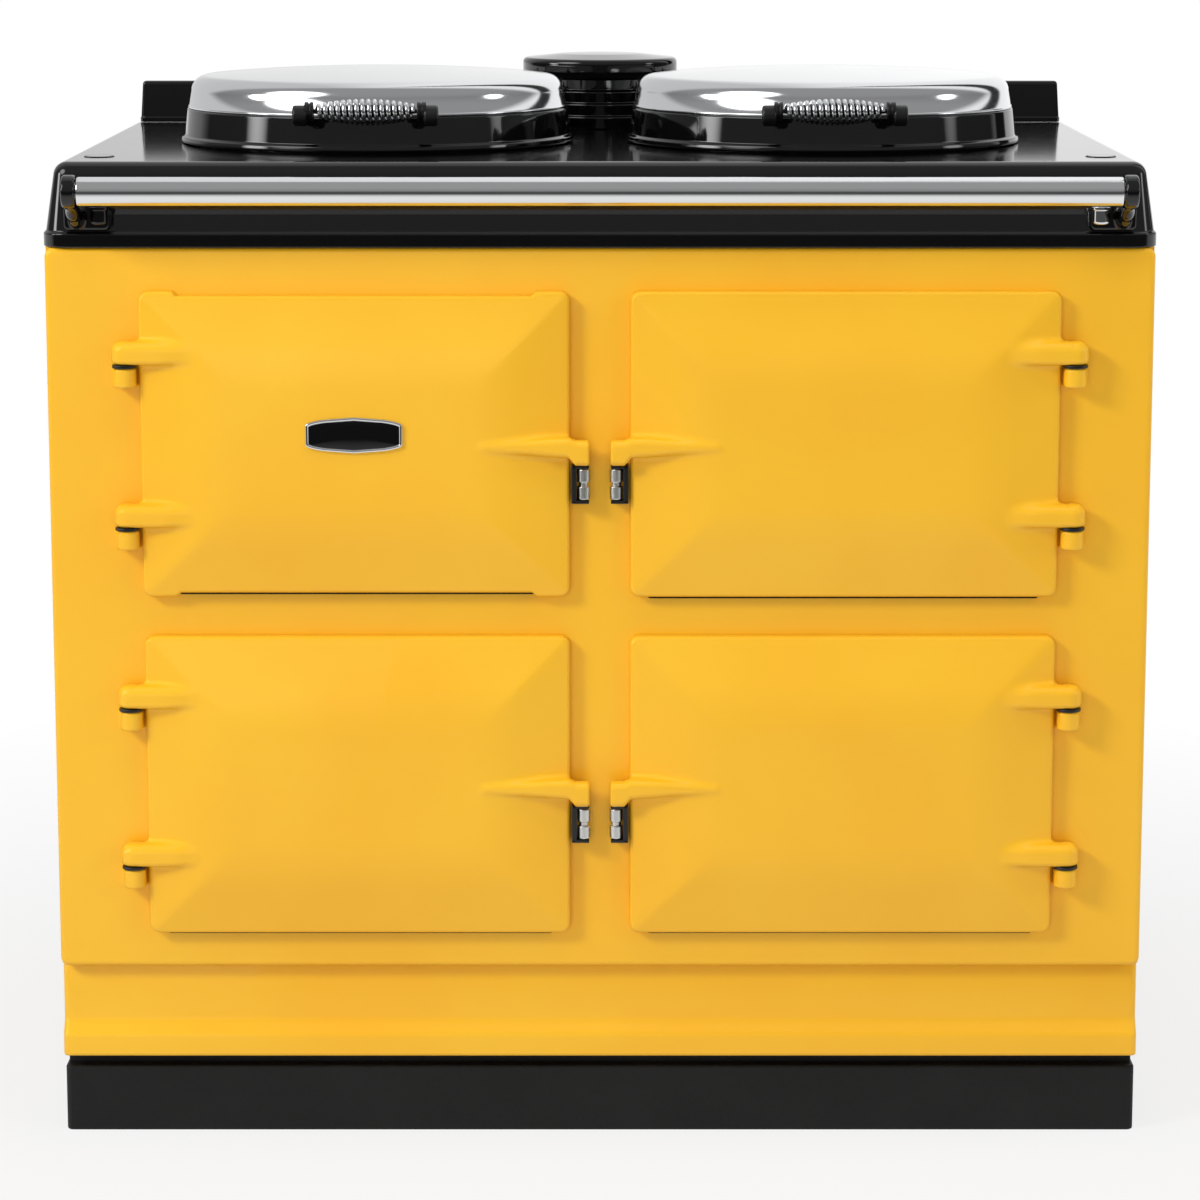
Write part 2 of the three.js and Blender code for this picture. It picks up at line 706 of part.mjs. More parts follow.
function flueCap() {
  const bottom = flueTop + SEAT_GAP;
  const top = bottom + FLUE_CAP_THICKNESS;
  const edge = FLUE_CAP_RADIUS - FLUE_CAP_ROUND;
  const profile = [
    [0, bottom],
    [FLUE_CAP_RADIUS - 2, bottom],
    ...arc(edge, top - FLUE_CAP_DOME - FLUE_CAP_ROUND, FLUE_CAP_ROUND, FLUE_CAP_ROUND, 0, 90, 4),
    [edge / 2, top - FLUE_CAP_DOME / 4],
    [0, top],
  ];
  return turned(profile, FLUE_SIDES).translate(0, flueCentreY, 0);
}

function hotplate(side) {
  const top = HOB_HEIGHT + HOTPLATE_PROUD;
  const flangeTop = HOB_HEIGHT - HOB_THICKNESS - SEAT_GAP;
  const flangeBottom = flangeTop - HOTPLATE_FLANGE_THICKNESS;
  const profile = [
    [0, top - HOTPLATE_THICKNESS],
    [HOTPLATE_RADIUS, top - HOTPLATE_THICKNESS],
    [HOTPLATE_RADIUS, flangeBottom],
    [HOTPLATE_RADIUS + HOTPLATE_FLANGE, flangeBottom],
    [HOTPLATE_RADIUS + HOTPLATE_FLANGE, flangeTop],
    [HOTPLATE_RADIUS, flangeTop],
    [HOTPLATE_RADIUS, top],
    [0, top],
  ];
  return turned(profile, DISC_SIDES).translate((side * LID_SPACING) / 2, lidCentreY, 0);
}

// ---------------------------------------------------------------------------------------------
// Lids. Each is built round its own middle, with height 0 on the hob's face.
// ---------------------------------------------------------------------------------------------

function ringOutside(offset) {
  return [
    [lidRadius - LID_BEAD_EASE + offset, LID_LIFT],
    [lidRadius + offset, LID_LIFT + LID_BEAD_EASE],
    [lidRadius + offset, LID_LIFT + LID_BEAD],
    [lidRadius - LID_BEAD_STEP + offset, LID_LIFT + LID_BEAD + 1.5 * LID_BEAD_STEP],
    [ringTopRadius + offset, RING_HEIGHT],
  ];
}

// The dome's outside: a steep rounded wall, then a shallow crown to the middle.
function domeOutside(offset, bottom, steps = 5) {
  const wallRadius = domeRadius - domeShoulderRadius;
  const wallHeight = DOME_SHOULDER_HEIGHT - RING_HEIGHT - SEAT_GAP;
  const crownRise = DOME_HEIGHT - DOME_SHOULDER_HEIGHT;
  const wall = Array.from({ length: steps + 1 }, (_, k) => {
    const angle = ((k / steps) * Math.PI) / 2;
    const x = domeShoulderRadius + wallRadius * Math.cos(angle) ** DOME_BULGE;
    return [x + offset, bottom + (wallHeight + offset) * Math.sin(angle) ** DOME_BULGE];
  });
  const crown = [0.5, 0].map((share) => [
    (domeShoulderRadius + offset) * share,
    bottom + wallHeight + offset + crownRise * (1 - share ** 2),
  ]);
  return [...wall, ...crown];
}

function lidRing() {
  const innerRadius = HOTPLATE_RADIUS + RING_INNER_CLEARANCE;
  const floorBottom = HOTPLATE_PROUD + RING_INNER_CLEARANCE;
  const ledgeRadius = ringTopRadius - RING_LEDGE;
  const ring = turned([
    [0, floorBottom],
    [innerRadius, floorBottom],
    [innerRadius, LID_LIFT],
    ...ringOutside(0),
    [ledgeRadius, RING_HEIGHT],
    [ledgeRadius, floorBottom + RING_FLOOR],
    [0, floorBottom + RING_FLOOR],
  ], DISC_SIDES);
  const half = KNUCKLE_LENGTH / 2;
  const tongueTop = RING_HEIGHT - TONGUE_DROP;
  const tongueRoot = innerRadius + TONGUE_ROOT;
  const tongue = block(-half, half, tongueRoot, lidHingeY, tongueTop - TONGUE_THICKNESS, tongueTop);
  const knuckle = acrossX(cylinder(KNUCKLE_RADIUS, -half, half, KNUCKLE_SIDES));
  const boreRadius = LID_PIN_RADIUS + PIN_CLEARANCE;
  const bore = acrossX(cylinder(boreRadius, -half - CUT_PAST, half + CUT_PAST, KNUCKLE_SIDES));
  const onHinge = (shape) => shape.translate(0, lidHingeY, LID_HINGE_HEIGHT);
  return cut(join(ring, tongue, onHinge(knuckle)), onHinge(bore));
}

function lidDome() {
  const bottom = RING_HEIGHT + SEAT_GAP;
  const inside = domeOutside(-DOME_WALL, bottom, 2).reverse();
  return turned([...inside, ...domeOutside(0, bottom)], DISC_SIDES);
}

// Turns a shape with an upright axis so that its axis runs from left to right.
function acrossX(geometry) {
  return geometry.rotateY(Math.PI / 2);
}

// The coil swells from its ends to its middle. Share runs from -1 at one end to 1 at the other.
function coilRadius(share) {
  const endRadius = (COIL_END_DIAMETER - COIL_WIRE) / 2;
  const middleRadius = (COIL_MIDDLE_DIAMETER - COIL_WIRE) / 2;
  return endRadius + (middleRadius - endRadius) * (1 - share ** 2);
}

function coilPath() {
  const steps = COIL_TURNS * COIL_STEPS;
  return Array.from({ length: steps + 1 }, (_, k) => {
    const share = (2 * k) / steps - 1;
    const angle = (k / COIL_STEPS) * 2 * Math.PI;
    const radius = coilRadius(share);
    return new THREE.Vector3((share * COIL_LENGTH) / 2, radius * Math.cos(angle), radius * Math.sin(angle));
  });
}

// The least distance between the wire's surface and itself, on points at least half a turn apart.
function coilGap(path) {
  let least = Infinity;
  for (let i = 0; i < path.length; i += 1) {
    for (let j = i + COIL_STEPS / 2; j < path.length; j += 1) {
      least = Math.min(least, path[i].distanceTo(path[j]));
    }
  }
  return least - COIL_WIRE;
}

// One unbroken wire: a ring of points across each point of the path, joined along it.
function coilWire() {
  const path = coilPath();
  console.log(`coil handle: least gap of the wire to itself ${coilGap(path).toFixed(2)} mm`);
  const axis = new THREE.Vector3(1, 0, 0);
  const rings = path.map((point, k) => {
    const before = path[Math.max(k - 1, 0)];
    const after = path[Math.min(k + 1, path.length - 1)];
    const along = after.clone().sub(before).normalize();
    const out = point.clone().addScaledVector(axis, -point.x).normalize();
    const across = along.clone().cross(out).normalize();
    const outSquare = across.clone().cross(along);
    return Array.from({ length: COIL_SIDES }, (_, side) => {
      const angle = (side / COIL_SIDES) * 2 * Math.PI;
      const offset = outSquare.clone().multiplyScalar((COIL_WIRE / 2) * Math.cos(angle));
      offset.addScaledVector(across, (COIL_WIRE / 2) * Math.sin(angle));
      return point.clone().add(offset);
    });
  });
  return loft(rings).translate(0, -coilForward, COIL_HEIGHT);
}

// Two posts on the lid's ring, with ferrules and a swelling core between them for the coil.
function handleFrame() {
  const coreRadius = (share) => coilRadius(share) * coilStepShrink - COIL_WIRE / 2 - SEAT_GAP;
  const end = postInnerX + FERRULE_ROOT;
  const profile = [[0, -end], [FERRULE_RADIUS, -end], [FERRULE_RADIUS, -coilOuterReach]];
  for (let k = 0; k <= 8; k += 1) {
    const share = k / 4 - 1;
    const place = k === 0 || k === 8 ? Math.sign(share) * coilOuterReach : (share * COIL_LENGTH) / 2;
    profile.push([coreRadius(share), place]);
  }
  profile.push([FERRULE_RADIUS, coilOuterReach], [FERRULE_RADIUS, end], [0, end]);
  const core = acrossX(turned(profile, 10)).translate(0, -coilForward, COIL_HEIGHT);
  const posts = [LEFT, RIGHT].map((side) => {
    const nose = roundedRectangle(POST_WIDTH, POST_HEIGHT, POST_CORNER_RADIUS, 2);
    const length = coilForward + POST_NOSE - ringTopRadius + POST_ROOT;
    const post = facingFront(prism(new THREE.Shape(nose), length, POST_EASE));
    const x = side * (postInnerX + POST_WIDTH / 2);
    return post.translate(x, -ringTopRadius + POST_ROOT, POST_BASE + POST_HEIGHT / 2);
  });
  const roomBottom = RING_HEIGHT + SEAT_GAP;
  const lidRoom = turned([
    [0, 0],
    ...ringOutside(SEAT_GAP),
    ...domeOutside(SEAT_GAP, roomBottom),
  ], DISC_SIDES);
  return cut(join(core, ...posts), lidRoom);
}

// The fixed half of a lid's hinge: a foot on the hob, two ears and the pin between them.
function lidHinge() {
  const inner = KNUCKLE_LENGTH / 2 + EAR_CLEARANCE;
  const outer = inner + EAR_THICKNESS;
  const half = HINGE_FOOT_DEPTH / 2;
  const footTop = SEAT_GAP + HINGE_FOOT_THICKNESS;
  const foot = block(-outer, outer, lidHingeY - half, lidHingeY + half, SEAT_GAP, footTop);
  const crown = arc(lidHingeY, LID_HINGE_HEIGHT, KNUCKLE_RADIUS, KNUCKLE_RADIUS, 0, 180, 8);
  const profile = [[lidHingeY - half, SEAT_GAP], [lidHingeY + half, SEAT_GAP], ...crown];
  const ear = alongX(profile, inner, outer);
  const pinReach = outer - CUT_PAST;
  const pin = acrossX(cylinder(LID_PIN_RADIUS, -pinReach, pinReach, KNUCKLE_SIDES));
  return join(foot, ear, mirrored(ear), pin.translate(0, lidHingeY, LID_HINGE_HEIGHT));
}

// ---------------------------------------------------------------------------------------------
// Towel rail
// ---------------------------------------------------------------------------------------------

function towelRail() {
  const half = railLength / 2;
  const radius = RAIL_DIAMETER / 2;
  const spigotEnd = half + RAIL_SPIGOT_LENGTH;
  const round = RAIL_END_ROUND;
  const roundEnd = arc(half - round, radius - round, round, round, 90, 10, 2);
  const rightEnd = roundEnd.map(([along, out]) => [out, along]);
  const leftEnd = rightEnd.map(([out, along]) => [out, -along]).reverse();
  const profile = [
    [0, -spigotEnd],
    [RAIL_SPIGOT_RADIUS, -spigotEnd],
    [RAIL_SPIGOT_RADIUS, -half],
    ...leftEnd,
    ...rightEnd,
    [RAIL_SPIGOT_RADIUS, half],
    [RAIL_SPIGOT_RADIUS, spigotEnd],
    [0, spigotEnd],
  ];
  return acrossX(turned(profile, RAIL_SIDES)).translate(0, frontY - RAIL_STANDOFF, railZ);
}

// A bracket: a boss that takes the rail's spigot, and an arm down to a foot on the hob's skirt.
// The foot reaches further inwards, where a nut holds it.
function railBracket(side) {
  const inner = railLength / 2 + SEAT_GAP;
  const outer = inner + BRACKET_WIDTH;
  const middle = (inner + outer) / 2;
  const onRail = (shape) => acrossX(shape).translate(0, -RAIL_STANDOFF, railZ);
  const boss = onRail(cylinder(BOSS_RADIUS, inner, outer, RAIL_SIDES));
  const footFront = -SEAT_GAP - BRACKET_FOOT_THICKNESS;
  const footTop = bracketFootZ + BRACKET_FOOT_HEIGHT;
  const armHalf = BOSS_RADIUS * BRACKET_ARM_SHARE;
  const armBottom = bracketFootZ + BRACKET_FILLET / 2;
  const arm = alongX([
    [-RAIL_STANDOFF - armHalf, railZ - armHalf],
    [footFront, armBottom],
    [-SEAT_GAP, armBottom],
    [-SEAT_GAP, footTop],
    [footFront - BRACKET_FILLET, footTop + BRACKET_FILLET],
    [-RAIL_STANDOFF + armHalf, railZ + armHalf],
  ], inner, outer);
  const [footInner, footOuter] = [middle - BRACKET_FOOT_INWARD, middle + BRACKET_FOOT_OUTWARD];
  const foot = block(footInner, footOuter, footFront, -SEAT_GAP, bracketFootZ, footTop);
  const socketRadius = RAIL_SPIGOT_RADIUS + SEAT_GAP;
  const socketEnd = inner + RAIL_SPIGOT_LENGTH + CUT_PAST;
  const socket = onRail(cylinder(socketRadius, inner - CUT_PAST, socketEnd, RAIL_SIDES));
  const bracket = cut(join(boss, arm, foot), socket);
  return sided(bracket, side).translate(0, frontY, 0);
}

// ---------------------------------------------------------------------------------------------
// Doors. Each is built as a right-hand door round its own middle, with Y 0 on the front plate's face.
// ---------------------------------------------------------------------------------------------

function doorLayer(proud, inset, radius = DOOR_CORNER_RADIUS) {
  return { z: proud, width: doorWidth - 2 * inset, depth: doorHeight - 2 * inset, radius };
}

function doorPanel() {
  const round = DOOR_RIM_ROUND;
  const kneeDrop = (DOOR_BEVEL_RISE / DOOR_BEVEL_WIDTH) * DOOR_KNEE;
  return facingFront(stack([
    doorLayer(DOOR_BACK_GAP, 0),
    doorLayer(DOOR_RIM_PROUD - round, 0),
    doorLayer(DOOR_RIM_PROUD - round * EASE_MIDDLE, round * EASE_MIDDLE),
    doorLayer(DOOR_RIM_PROUD, round, DOOR_CORNER_RADIUS - round / 2),
    doorLayer(doorFaceProud - kneeDrop, DOOR_BEVEL_WIDTH - DOOR_KNEE, DOOR_KNEE),
    doorLayer(doorFaceProud, DOOR_BEVEL_WIDTH + DOOR_KNEE, DOOR_KNEE),
  ], 2));
}

// The space behind the door's casting, which the liner closes.
function doorPocket() {
  return facingFront(stack([
    doorLayer(-1, DOOR_RIM_WALL, POCKET_CORNER_RADIUS),
    doorLayer(DOOR_RIM_PROUD - DOOR_WALL + 2, DOOR_RIM_WALL, POCKET_CORNER_RADIUS),
    doorLayer(doorFaceProud - DOOR_WALL, DOOR_BEVEL_WIDTH, DOOR_KNEE),
  ], 1));
}

function hingeArm() {
  const shape = new THREE.Shape();
  const tip = hingeX - HINGE_ARM_REACH;
  const front = -HINGE_FORWARD - HINGE_ARM_RADIUS;
  const rear = -HINGE_FORWARD + HINGE_ARM_RADIUS;
  shape.moveTo(hingeX, front);
  shape.absarc(hingeX, -HINGE_FORWARD, HINGE_ARM_RADIUS, -Math.PI / 2, Math.PI / 2, false);
  const slope = HINGE_ARM_TIP_SLOPE;
  shape.lineTo(doorWidth / 2 - slope, rear - slope);
  shape.lineTo(doorWidth / 2 - DOOR_RIM_WALL, -DOOR_RIM_PROUD + slope);
  shape.lineTo(tip + HINGE_ARM_TIP_ROOT, -DOOR_RIM_PROUD - HINGE_ARM_SINK);
  shape.lineTo(tip, front + HINGE_ARM_TIP_DROP);
  shape.lineTo(tip + slope, front + slope);
  return prism(shape, HINGE_ARM_HEIGHT, HINGE_ARM_EASE).translate(0, 0, -HINGE_ARM_HEIGHT / 2);
}

function armHole() {
  const top = PIN_LENGTH + 1 - HINGE_ARM_HEIGHT / 2;
  const hole = cylinder(PIN_RADIUS + PIN_CLEARANCE, -HINGE_ARM_HEIGHT, top, PIN_SIDES);
  return hole.translate(hingeX, -HINGE_FORWARD, 0);
}

function gripBlock(x, ease) {
  const halfHeight = GRIP_END_HALF_HEIGHT - ease;
  return { x, halfHeight, halfDepth: GRIP_HALF_DEPTH - ease, forward: GRIP_FORWARD, drop: GRIP_END_DROP };
}

// The grip's arm grows out of the bevel, crosses the door's edge and ends in a block that hangs lower.
function doorGrip() {
  const edge = -doorWidth / 2;
  const end = -doorCentreX + GRIP_GAP / 2;
  const root = edge + GRIP_ARM_REACH;
  const blockStart = edge - GRIP_BLOCK_OUTSET;
  const rootProud = doorFaceProud - GRIP_ROOT_SINK;
  const armProud = GRIP_FORWARD + 0.6;
  const ease = GRIP_END_EASE;
  const armEnd = { halfHeight: GRIP_ARM_HALF_HEIGHT, halfDepth: GRIP_HALF_DEPTH, forward: GRIP_FORWARD };
  const stations = [
    { x: root, halfHeight: 1.2, halfDepth: 2, forward: rootProud, drop: 0 },
    { x: root - GRIP_ARM_REACH * 0.3, halfHeight: 4.6, halfDepth: 5.6, forward: rootProud - 0.6, drop: 0 },
    { x: root - GRIP_ARM_REACH * 0.65, halfHeight: 7.6, halfDepth: 7.4, forward: armProud, drop: 0 },
    { x: edge + GRIP_BLOCK_OUTSET / 2, ...armEnd, drop: 0 },
    gripBlock(blockStart, 0),
    gripBlock(end + ease, 0),
    gripBlock(end, ease),
  ];
  return loft(stations.map(({ x, halfHeight, halfDepth, forward, drop }) => {
    const radius = Math.min(halfHeight, halfDepth) * 0.75;
    const section = roundedRectangle(2 * halfDepth, 2 * halfHeight, radius, 1);
    return section.map((p) => new THREE.Vector3(x, -forward + p.x, p.y - drop));
  }));
}

// Long shallow notches in the door's top and bottom edges, which let air into the compartment.
function ventCutter() {
  const outer = doorWidth / 2 - VENT_END_INSET;
  const inner = outer - VENT_DEPTH;
  const edge = doorHeight / 2;
  const floor = edge - VENT_DEPTH;
  const shape = outline([[-outer, edge + 1], [-inner, floor], [inner, floor], [outer, edge + 1]]);
  return facingFront(prism(shape, doorFaceProud + 2).translate(0, 0, -1));
}

function door(place) {
  const arms = armOffsets.map((offset) => hingeArm().translate(0, 0, offset));
  const holes = armOffsets.map((offset) => armHole().translate(0, 0, offset));
  let casting = join(cut(doorPanel(), doorPocket()), ...arms, doorGrip());
  casting = cut(casting, ...holes);
  if (place.name === 'top_left') {
    const vent = ventCutter();
    casting = cut(casting, vent, outward(vent.clone().scale(1, 1, -1)));
  }
  return sided(casting, place.side);
}

// The liner closes the door's pocket and plugs the oven's mouth.
function doorLiner(place) {
  const inset = DOOR_RIM_WALL + SEAT_GAP;
  const plugInset = (doorWidth - mouthWidth) / 2 + LINER_CLEARANCE;
  const plugInsetZ = (doorHeight - mouthHeight) / 2 + LINER_CLEARANCE;
  const plug = (z, ease) => ({
    z,
    width: doorWidth - 2 * (plugInset + ease),
    depth: doorHeight - 2 * (plugInsetZ + ease),
    radius: LINER_CORNER_RADIUS,
  });
  const flangeTop = DOOR_BACK_GAP + LINER_FLANGE;
  const flangeLayer = (z) => doorLayer(z, inset, POCKET_CORNER_RADIUS);
  const flange = stack([flangeLayer(DOOR_BACK_GAP), flangeLayer(flangeTop)], 1);
  const ease = LINER_EASE;
  const panTop = DOOR_BACK_GAP + CUT_PAST;
  const pan = stack([plug(-LINER_REACH, ease), plug(-LINER_REACH + ease, 0), plug(panTop, 0)], 2);
  return sided(facingFront(join(flange, pan)), place.side);
}

function hingePin() {
  const profile = [
    [0, -PIN_LENGTH + 1],
    [PIN_RADIUS, -PIN_LENGTH + 1],
    [PIN_RADIUS, SEAT_GAP],
    [COLLAR_RADIUS, SEAT_GAP],
    [COLLAR_RADIUS, SEAT_GAP + COLLAR_HEIGHT],
    [PIN_RADIUS, SEAT_GAP + COLLAR_HEIGHT],
    [PIN_RADIUS, collarStack + PIN_LENGTH],
    [0, collarStack + PIN_LENGTH],
  ];
  return turned(profile, PIN_SIDES);
}

// ---------------------------------------------------------------------------------------------
// Catches and badge
// ---------------------------------------------------------------------------------------------

const catchOuter = DOOR_COLUMN_GAP / 2 - CATCH_EDGE_CLEARANCE;
const rollerX = CATCH_INNER_EDGE + ROLLER_RADIUS;
const rollerHeight = CATCH_HEIGHT - 2 * CATCH_FLANGE - 2 * SEAT_GAP;

// A catch is built for the right side, with height 0 at its foot and Y 0 on the front plate's face.
function catchBracket(side) {
  const part = (x0, z0, z1) => block(x0, catchOuter, -CATCH_DEPTH, -SEAT_GAP, z0, z1);
  const spine = part(catchOuter - CATCH_SPINE, 0, CATCH_HEIGHT);
  const foot = part(CATCH_INNER_EDGE, 0, CATCH_FLANGE);
  const head = part(CATCH_INNER_EDGE, CATCH_HEIGHT - CATCH_FLANGE, CATCH_HEIGHT);
  const upright = cylinder(ROLLER_AXLE_RADIUS, CUT_PAST, CATCH_HEIGHT - CUT_PAST, PIN_SIDES);
  const axle = upright.translate(rollerX, -ROLLER_FORWARD, 0);
  return sided(join(spine, foot, head, axle), side);
}

function catchRoller(side) {
  const bore = ROLLER_AXLE_RADIUS + PIN_CLEARANCE;
  const outside = [[ROLLER_RADIUS, 0], [ROLLER_RADIUS, rollerHeight]];
  const profile = [[bore, 0], ...outside, [bore, rollerHeight], [bore, 0]];
  const base = CATCH_FLANGE + SEAT_GAP;
  return turned(profile, PIN_SIDES).translate(side * rollerX, -ROLLER_FORWARD, base);
}

// Flat ends, and a top and bottom edge that bow outwards.
function badge() {
  const half = BADGE_WIDTH / 2;
  const bow = (BADGE_HEIGHT - BADGE_END_HEIGHT) / 2;
  const topEdge = Array.from({ length: 9 }, (_, k) => {
    const share = 1 - k / 4;
    return [half * share, BADGE_END_HEIGHT / 2 + bow * (1 - share ** 2)];
  });
  const bottomEdge = topEdge.map(([x, y]) => [-x, -y]);
  return facingFront(prism(outline([...topEdge, ...bottomEdge]), BADGE_THICKNESS, BADGE_EASE));
}

// ---------------------------------------------------------------------------------------------
// Ovens and control compartment. Each is built with Y 0 at its mouth, round the mouth's middle.
// ---------------------------------------------------------------------------------------------

// An open box behind a mouth, with a flange that seats behind the front plate.
function ovenBox(depth, wall) {
  const layer = (z, grow, radius) => ({
    z,
    width: mouthWidth + 2 * grow,
    depth: mouthHeight + 2 * grow,
    radius,
  });
  const shellLayer = (z) => layer(z, wall, MOUTH_CORNER_RADIUS);
  const flangeLayer = (z) => layer(z, wall + OVEN_FLANGE, OVEN_FLANGE_CORNER_RADIUS);
  const hollowLayer = (z) => layer(z, 0, OVEN_CORNER_RADIUS);
  const shell = stack([shellLayer(-depth), shellLayer(0)], 3);
  const flange = stack([flangeLayer(-OVEN_FLANGE_THICKNESS), flangeLayer(0)], 3);
  const hollow = stack([hollowLayer(-depth + wall), hollowLayer(1)], 3);
  return facingFront(cut(join(shell, flange), hollow));
}

function runnerTop(pair) {
  return (pair - (RUNNER_PAIRS - 1) / 2) * RUNNER_SPACING;
}

function oven() {
  const halfWidth = mouthWidth / 2;
  const rear = OVEN_DEPTH - OVEN_WALL;
  const runners = [];
  for (let pair = 0; pair < RUNNER_PAIRS; pair += 1) {
    const top = runnerTop(pair);
    const [x0, x1] = [halfWidth - RUNNER_WIDTH, halfWidth + CUT_PAST];
    const [y0, y1] = [RUNNER_FRONT_SETBACK, rear + CUT_PAST];
    const runner = block(x0, x1, y0, y1, top - RUNNER_THICKNESS, top);
    runners.push(runner, mirrored(runner));
  }
  return join(ovenBox(OVEN_DEPTH, OVEN_WALL), ...runners);
}

// A cast grid: a rim with bars across it.
function ovenShelf() {
  const width = mouthWidth - 2 * SHELF_SIDE_CLEARANCE;
  const grid = new THREE.Shape(roundedRectangle(width, SHELF_DEPTH, SHELF_CORNER_RADIUS, 2));
  const clearWidth = width - 2 * SHELF_RIM_WIDTH;
  const slots = SHELF_BARS + 1;
  const slotDepth = (SHELF_DEPTH - 2 * SHELF_RIM_WIDTH - SHELF_BARS * SHELF_BAR_WIDTH) / slots;
  for (let slot = 0; slot < slots; slot += 1) {
    const y0 = -SHELF_DEPTH / 2 + SHELF_RIM_WIDTH + slot * (slotDepth + SHELF_BAR_WIDTH);
    const [x, y1] = [clearWidth / 2, y0 + slotDepth];
    const hole = [[-x, y0], [x, y0], [x, y1], [-x, y1]].map(([px, py]) => new THREE.Vector2(px, py));
    grid.holes.push(new THREE.Path(hole));
  }
  const rear = OVEN_DEPTH - OVEN_WALL - SEAT_GAP;
  return prism(grid, SHELF_THICKNESS).translate(0, rear - SHELF_DEPTH / 2, runnerTop(1) + SEAT_GAP);
}

function knobX(index) {
  return (index - (KNOB_COUNT - 1) / 2) * KNOB_SPACING;
}

function controlHousing() {
  const holes = Array.from({ length: KNOB_COUNT }, (_, index) => {
    const radius = KNOB_SHAFT_RADIUS + KNOB_SHAFT_CLEARANCE;
    const holeEnd = CONTROL_WALL + CUT_PAST - CONTROL_DEPTH;
    const hole = cylinder(radius, -CONTROL_DEPTH - CUT_PAST, holeEnd, KNOB_SIDES);
    return facingFront(hole).translate(knobX(index), 0, 0);
  });
  return cut(ovenBox(CONTROL_DEPTH, CONTROL_WALL), ...holes);
}

function controlKnob(index) {
  const face = -CONTROL_DEPTH + CONTROL_WALL + SEAT_GAP;
  const shaftEnd = face - CONTROL_WALL - KNOB_SHAFT_REACH;
  const skirtTop = face + KNOB_SKIRT_HEIGHT;
  const top = face + KNOB_HEIGHT;
  const neckRadius = KNOB_RADIUS - KNOB_NECK;
  const knob = turned([
    [0, shaftEnd],
    [KNOB_SHAFT_RADIUS, shaftEnd],
    [KNOB_SHAFT_RADIUS, face],
    [KNOB_RADIUS, face],
    [KNOB_RADIUS, skirtTop],
    [neckRadius, skirtTop + KNOB_TAPER],
    [neckRadius - KNOB_TAPER, top],
    [0, top],
  ], KNOB_SIDES);
  const barHalf = KNOB_BAR_WIDTH / 2;
  const barReach = KNOB_RADIUS - KNOB_BAR_INSET;
  const bar = block(-barHalf, barHalf, -barReach, barReach, top - KNOB_SKIRT_HEIGHT, top + KNOB_BAR_RISE);
  return facingFront(join(knob, bar)).translate(knobX(index), 0, 0);
}

// ---------------------------------------------------------------------------------------------
// The assembly
// ---------------------------------------------------------------------------------------------

const cooker = new THREE.Group();

function add(name, geometry, material, x = 0, y = 0, z = 0) {
  const mesh = new THREE.Mesh(geometry, material);
  mesh.name = name;
  mesh.position.set(x, y, z);
  cooker.add(mesh);
}

add('base_plinth', basePlinth(), satinBlack());
add('kick_panel', kickPanel(), yellowEnamel());
add('front_plate', frontPlate(), yellowEnamel());
add('back_panel', backPanel(), satinBlack());
add('top_plate', topPlate(), blackEnamel());
add('upstand', upstand(), blackEnamel());
add('flue_body', flueBody(), blackEnamel());
add('flue_cap', flueCap(), blackEnamel());
add('towel_rail', towelRail(), chrome());

for (const [word, side] of [['left', LEFT], ['right', RIGHT]]) {
  const lidX = (side * LID_SPACING) / 2;
  add(`side_panel_${word}`, sidePanel(side), yellowEnamel());
  add(`rail_bracket_${word}`, railBracket(side), blackEnamel());
  add(`hotplate_${word}`, hotplate(side), castIron());
  add(`lid_hinge_${word}`, lidHinge(), satinBlack(), lidX, lidCentreY, HOB_HEIGHT);
  add(`lid_ring_${word}`, lidRing(), blackEnamel(), lidX, lidCentreY, HOB_HEIGHT);
  add(`lid_dome_${word}`, lidDome(), chrome(), lidX, lidCentreY, HOB_HEIGHT);
  add(`lid_handle_frame_${word}`, handleFrame(), satinBlack(), lidX, lidCentreY, HOB_HEIGHT);
  add(`lid_handle_coil_${word}`, coilWire(), chrome(), lidX, lidCentreY, HOB_HEIGHT);
}

for (const place of doorPlaces) {
  const x = place.side * doorCentreX;
  const catchZ = place.z - CATCH_DROP - CATCH_HEIGHT;
  add(`door_${place.name}`, door(place), yellowEnamel(), x, frontY, place.z);
  add(`door_liner_${place.name}`, doorLiner(place), linerSteel(), x, frontY, place.z);
  add(`catch_bracket_${place.name}`, catchBracket(place.side), satinBlack(), 0, frontY, catchZ);
  add(`catch_roller_${place.name}`, catchRoller(place.side), brightSteel(), 0, frontY, catchZ);
  for (const [word, offset] of [['upper', HINGE_ARM_UPPER], ['lower', HINGE_ARM_LOWER]]) {
    const lugTop = place.z + offset - HINGE_ARM_HEIGHT / 2 - collarStack;
    const pinX = place.side * (doorCentreX + hingeX);
    add(`hinge_pin_${place.name}_${word}`, hingePin(), satinBlack(), pinX, frontY - HINGE_FORWARD, lugTop);
  }
}

const badgeY = frontY - doorFaceProud - SEAT_GAP;
add('badge', badge(), blackEnamel(), LEFT * doorCentreX, badgeY, upperDoorZ + BADGE_RISE);

const ovens = [
  { name: 'roasting', side: RIGHT, z: upperDoorZ },
  { name: 'baking', side: RIGHT, z: lowerDoorZ },
  { name: 'simmering', side: LEFT, z: lowerDoorZ },
];
for (const { name, side, z } of ovens) {
  add(`${name}_oven`, oven(), greyEnamel(), side * doorCentreX, ovenFrontY, z);
  add(`${name}_shelf`, ovenShelf(), castIron(), side * doorCentreX, ovenFrontY, z);
}

const controlPlace = [LEFT * doorCentreX, ovenFrontY, upperDoorZ];
add('control_housing', controlHousing(), greyEnamel(), ...controlPlace);
for (let index = 0; index < KNOB_COUNT; index += 1) {
  add(`control_knob_${index + 1}`, controlKnob(index), satinBlack(), ...controlPlace);
}

export default cooker;
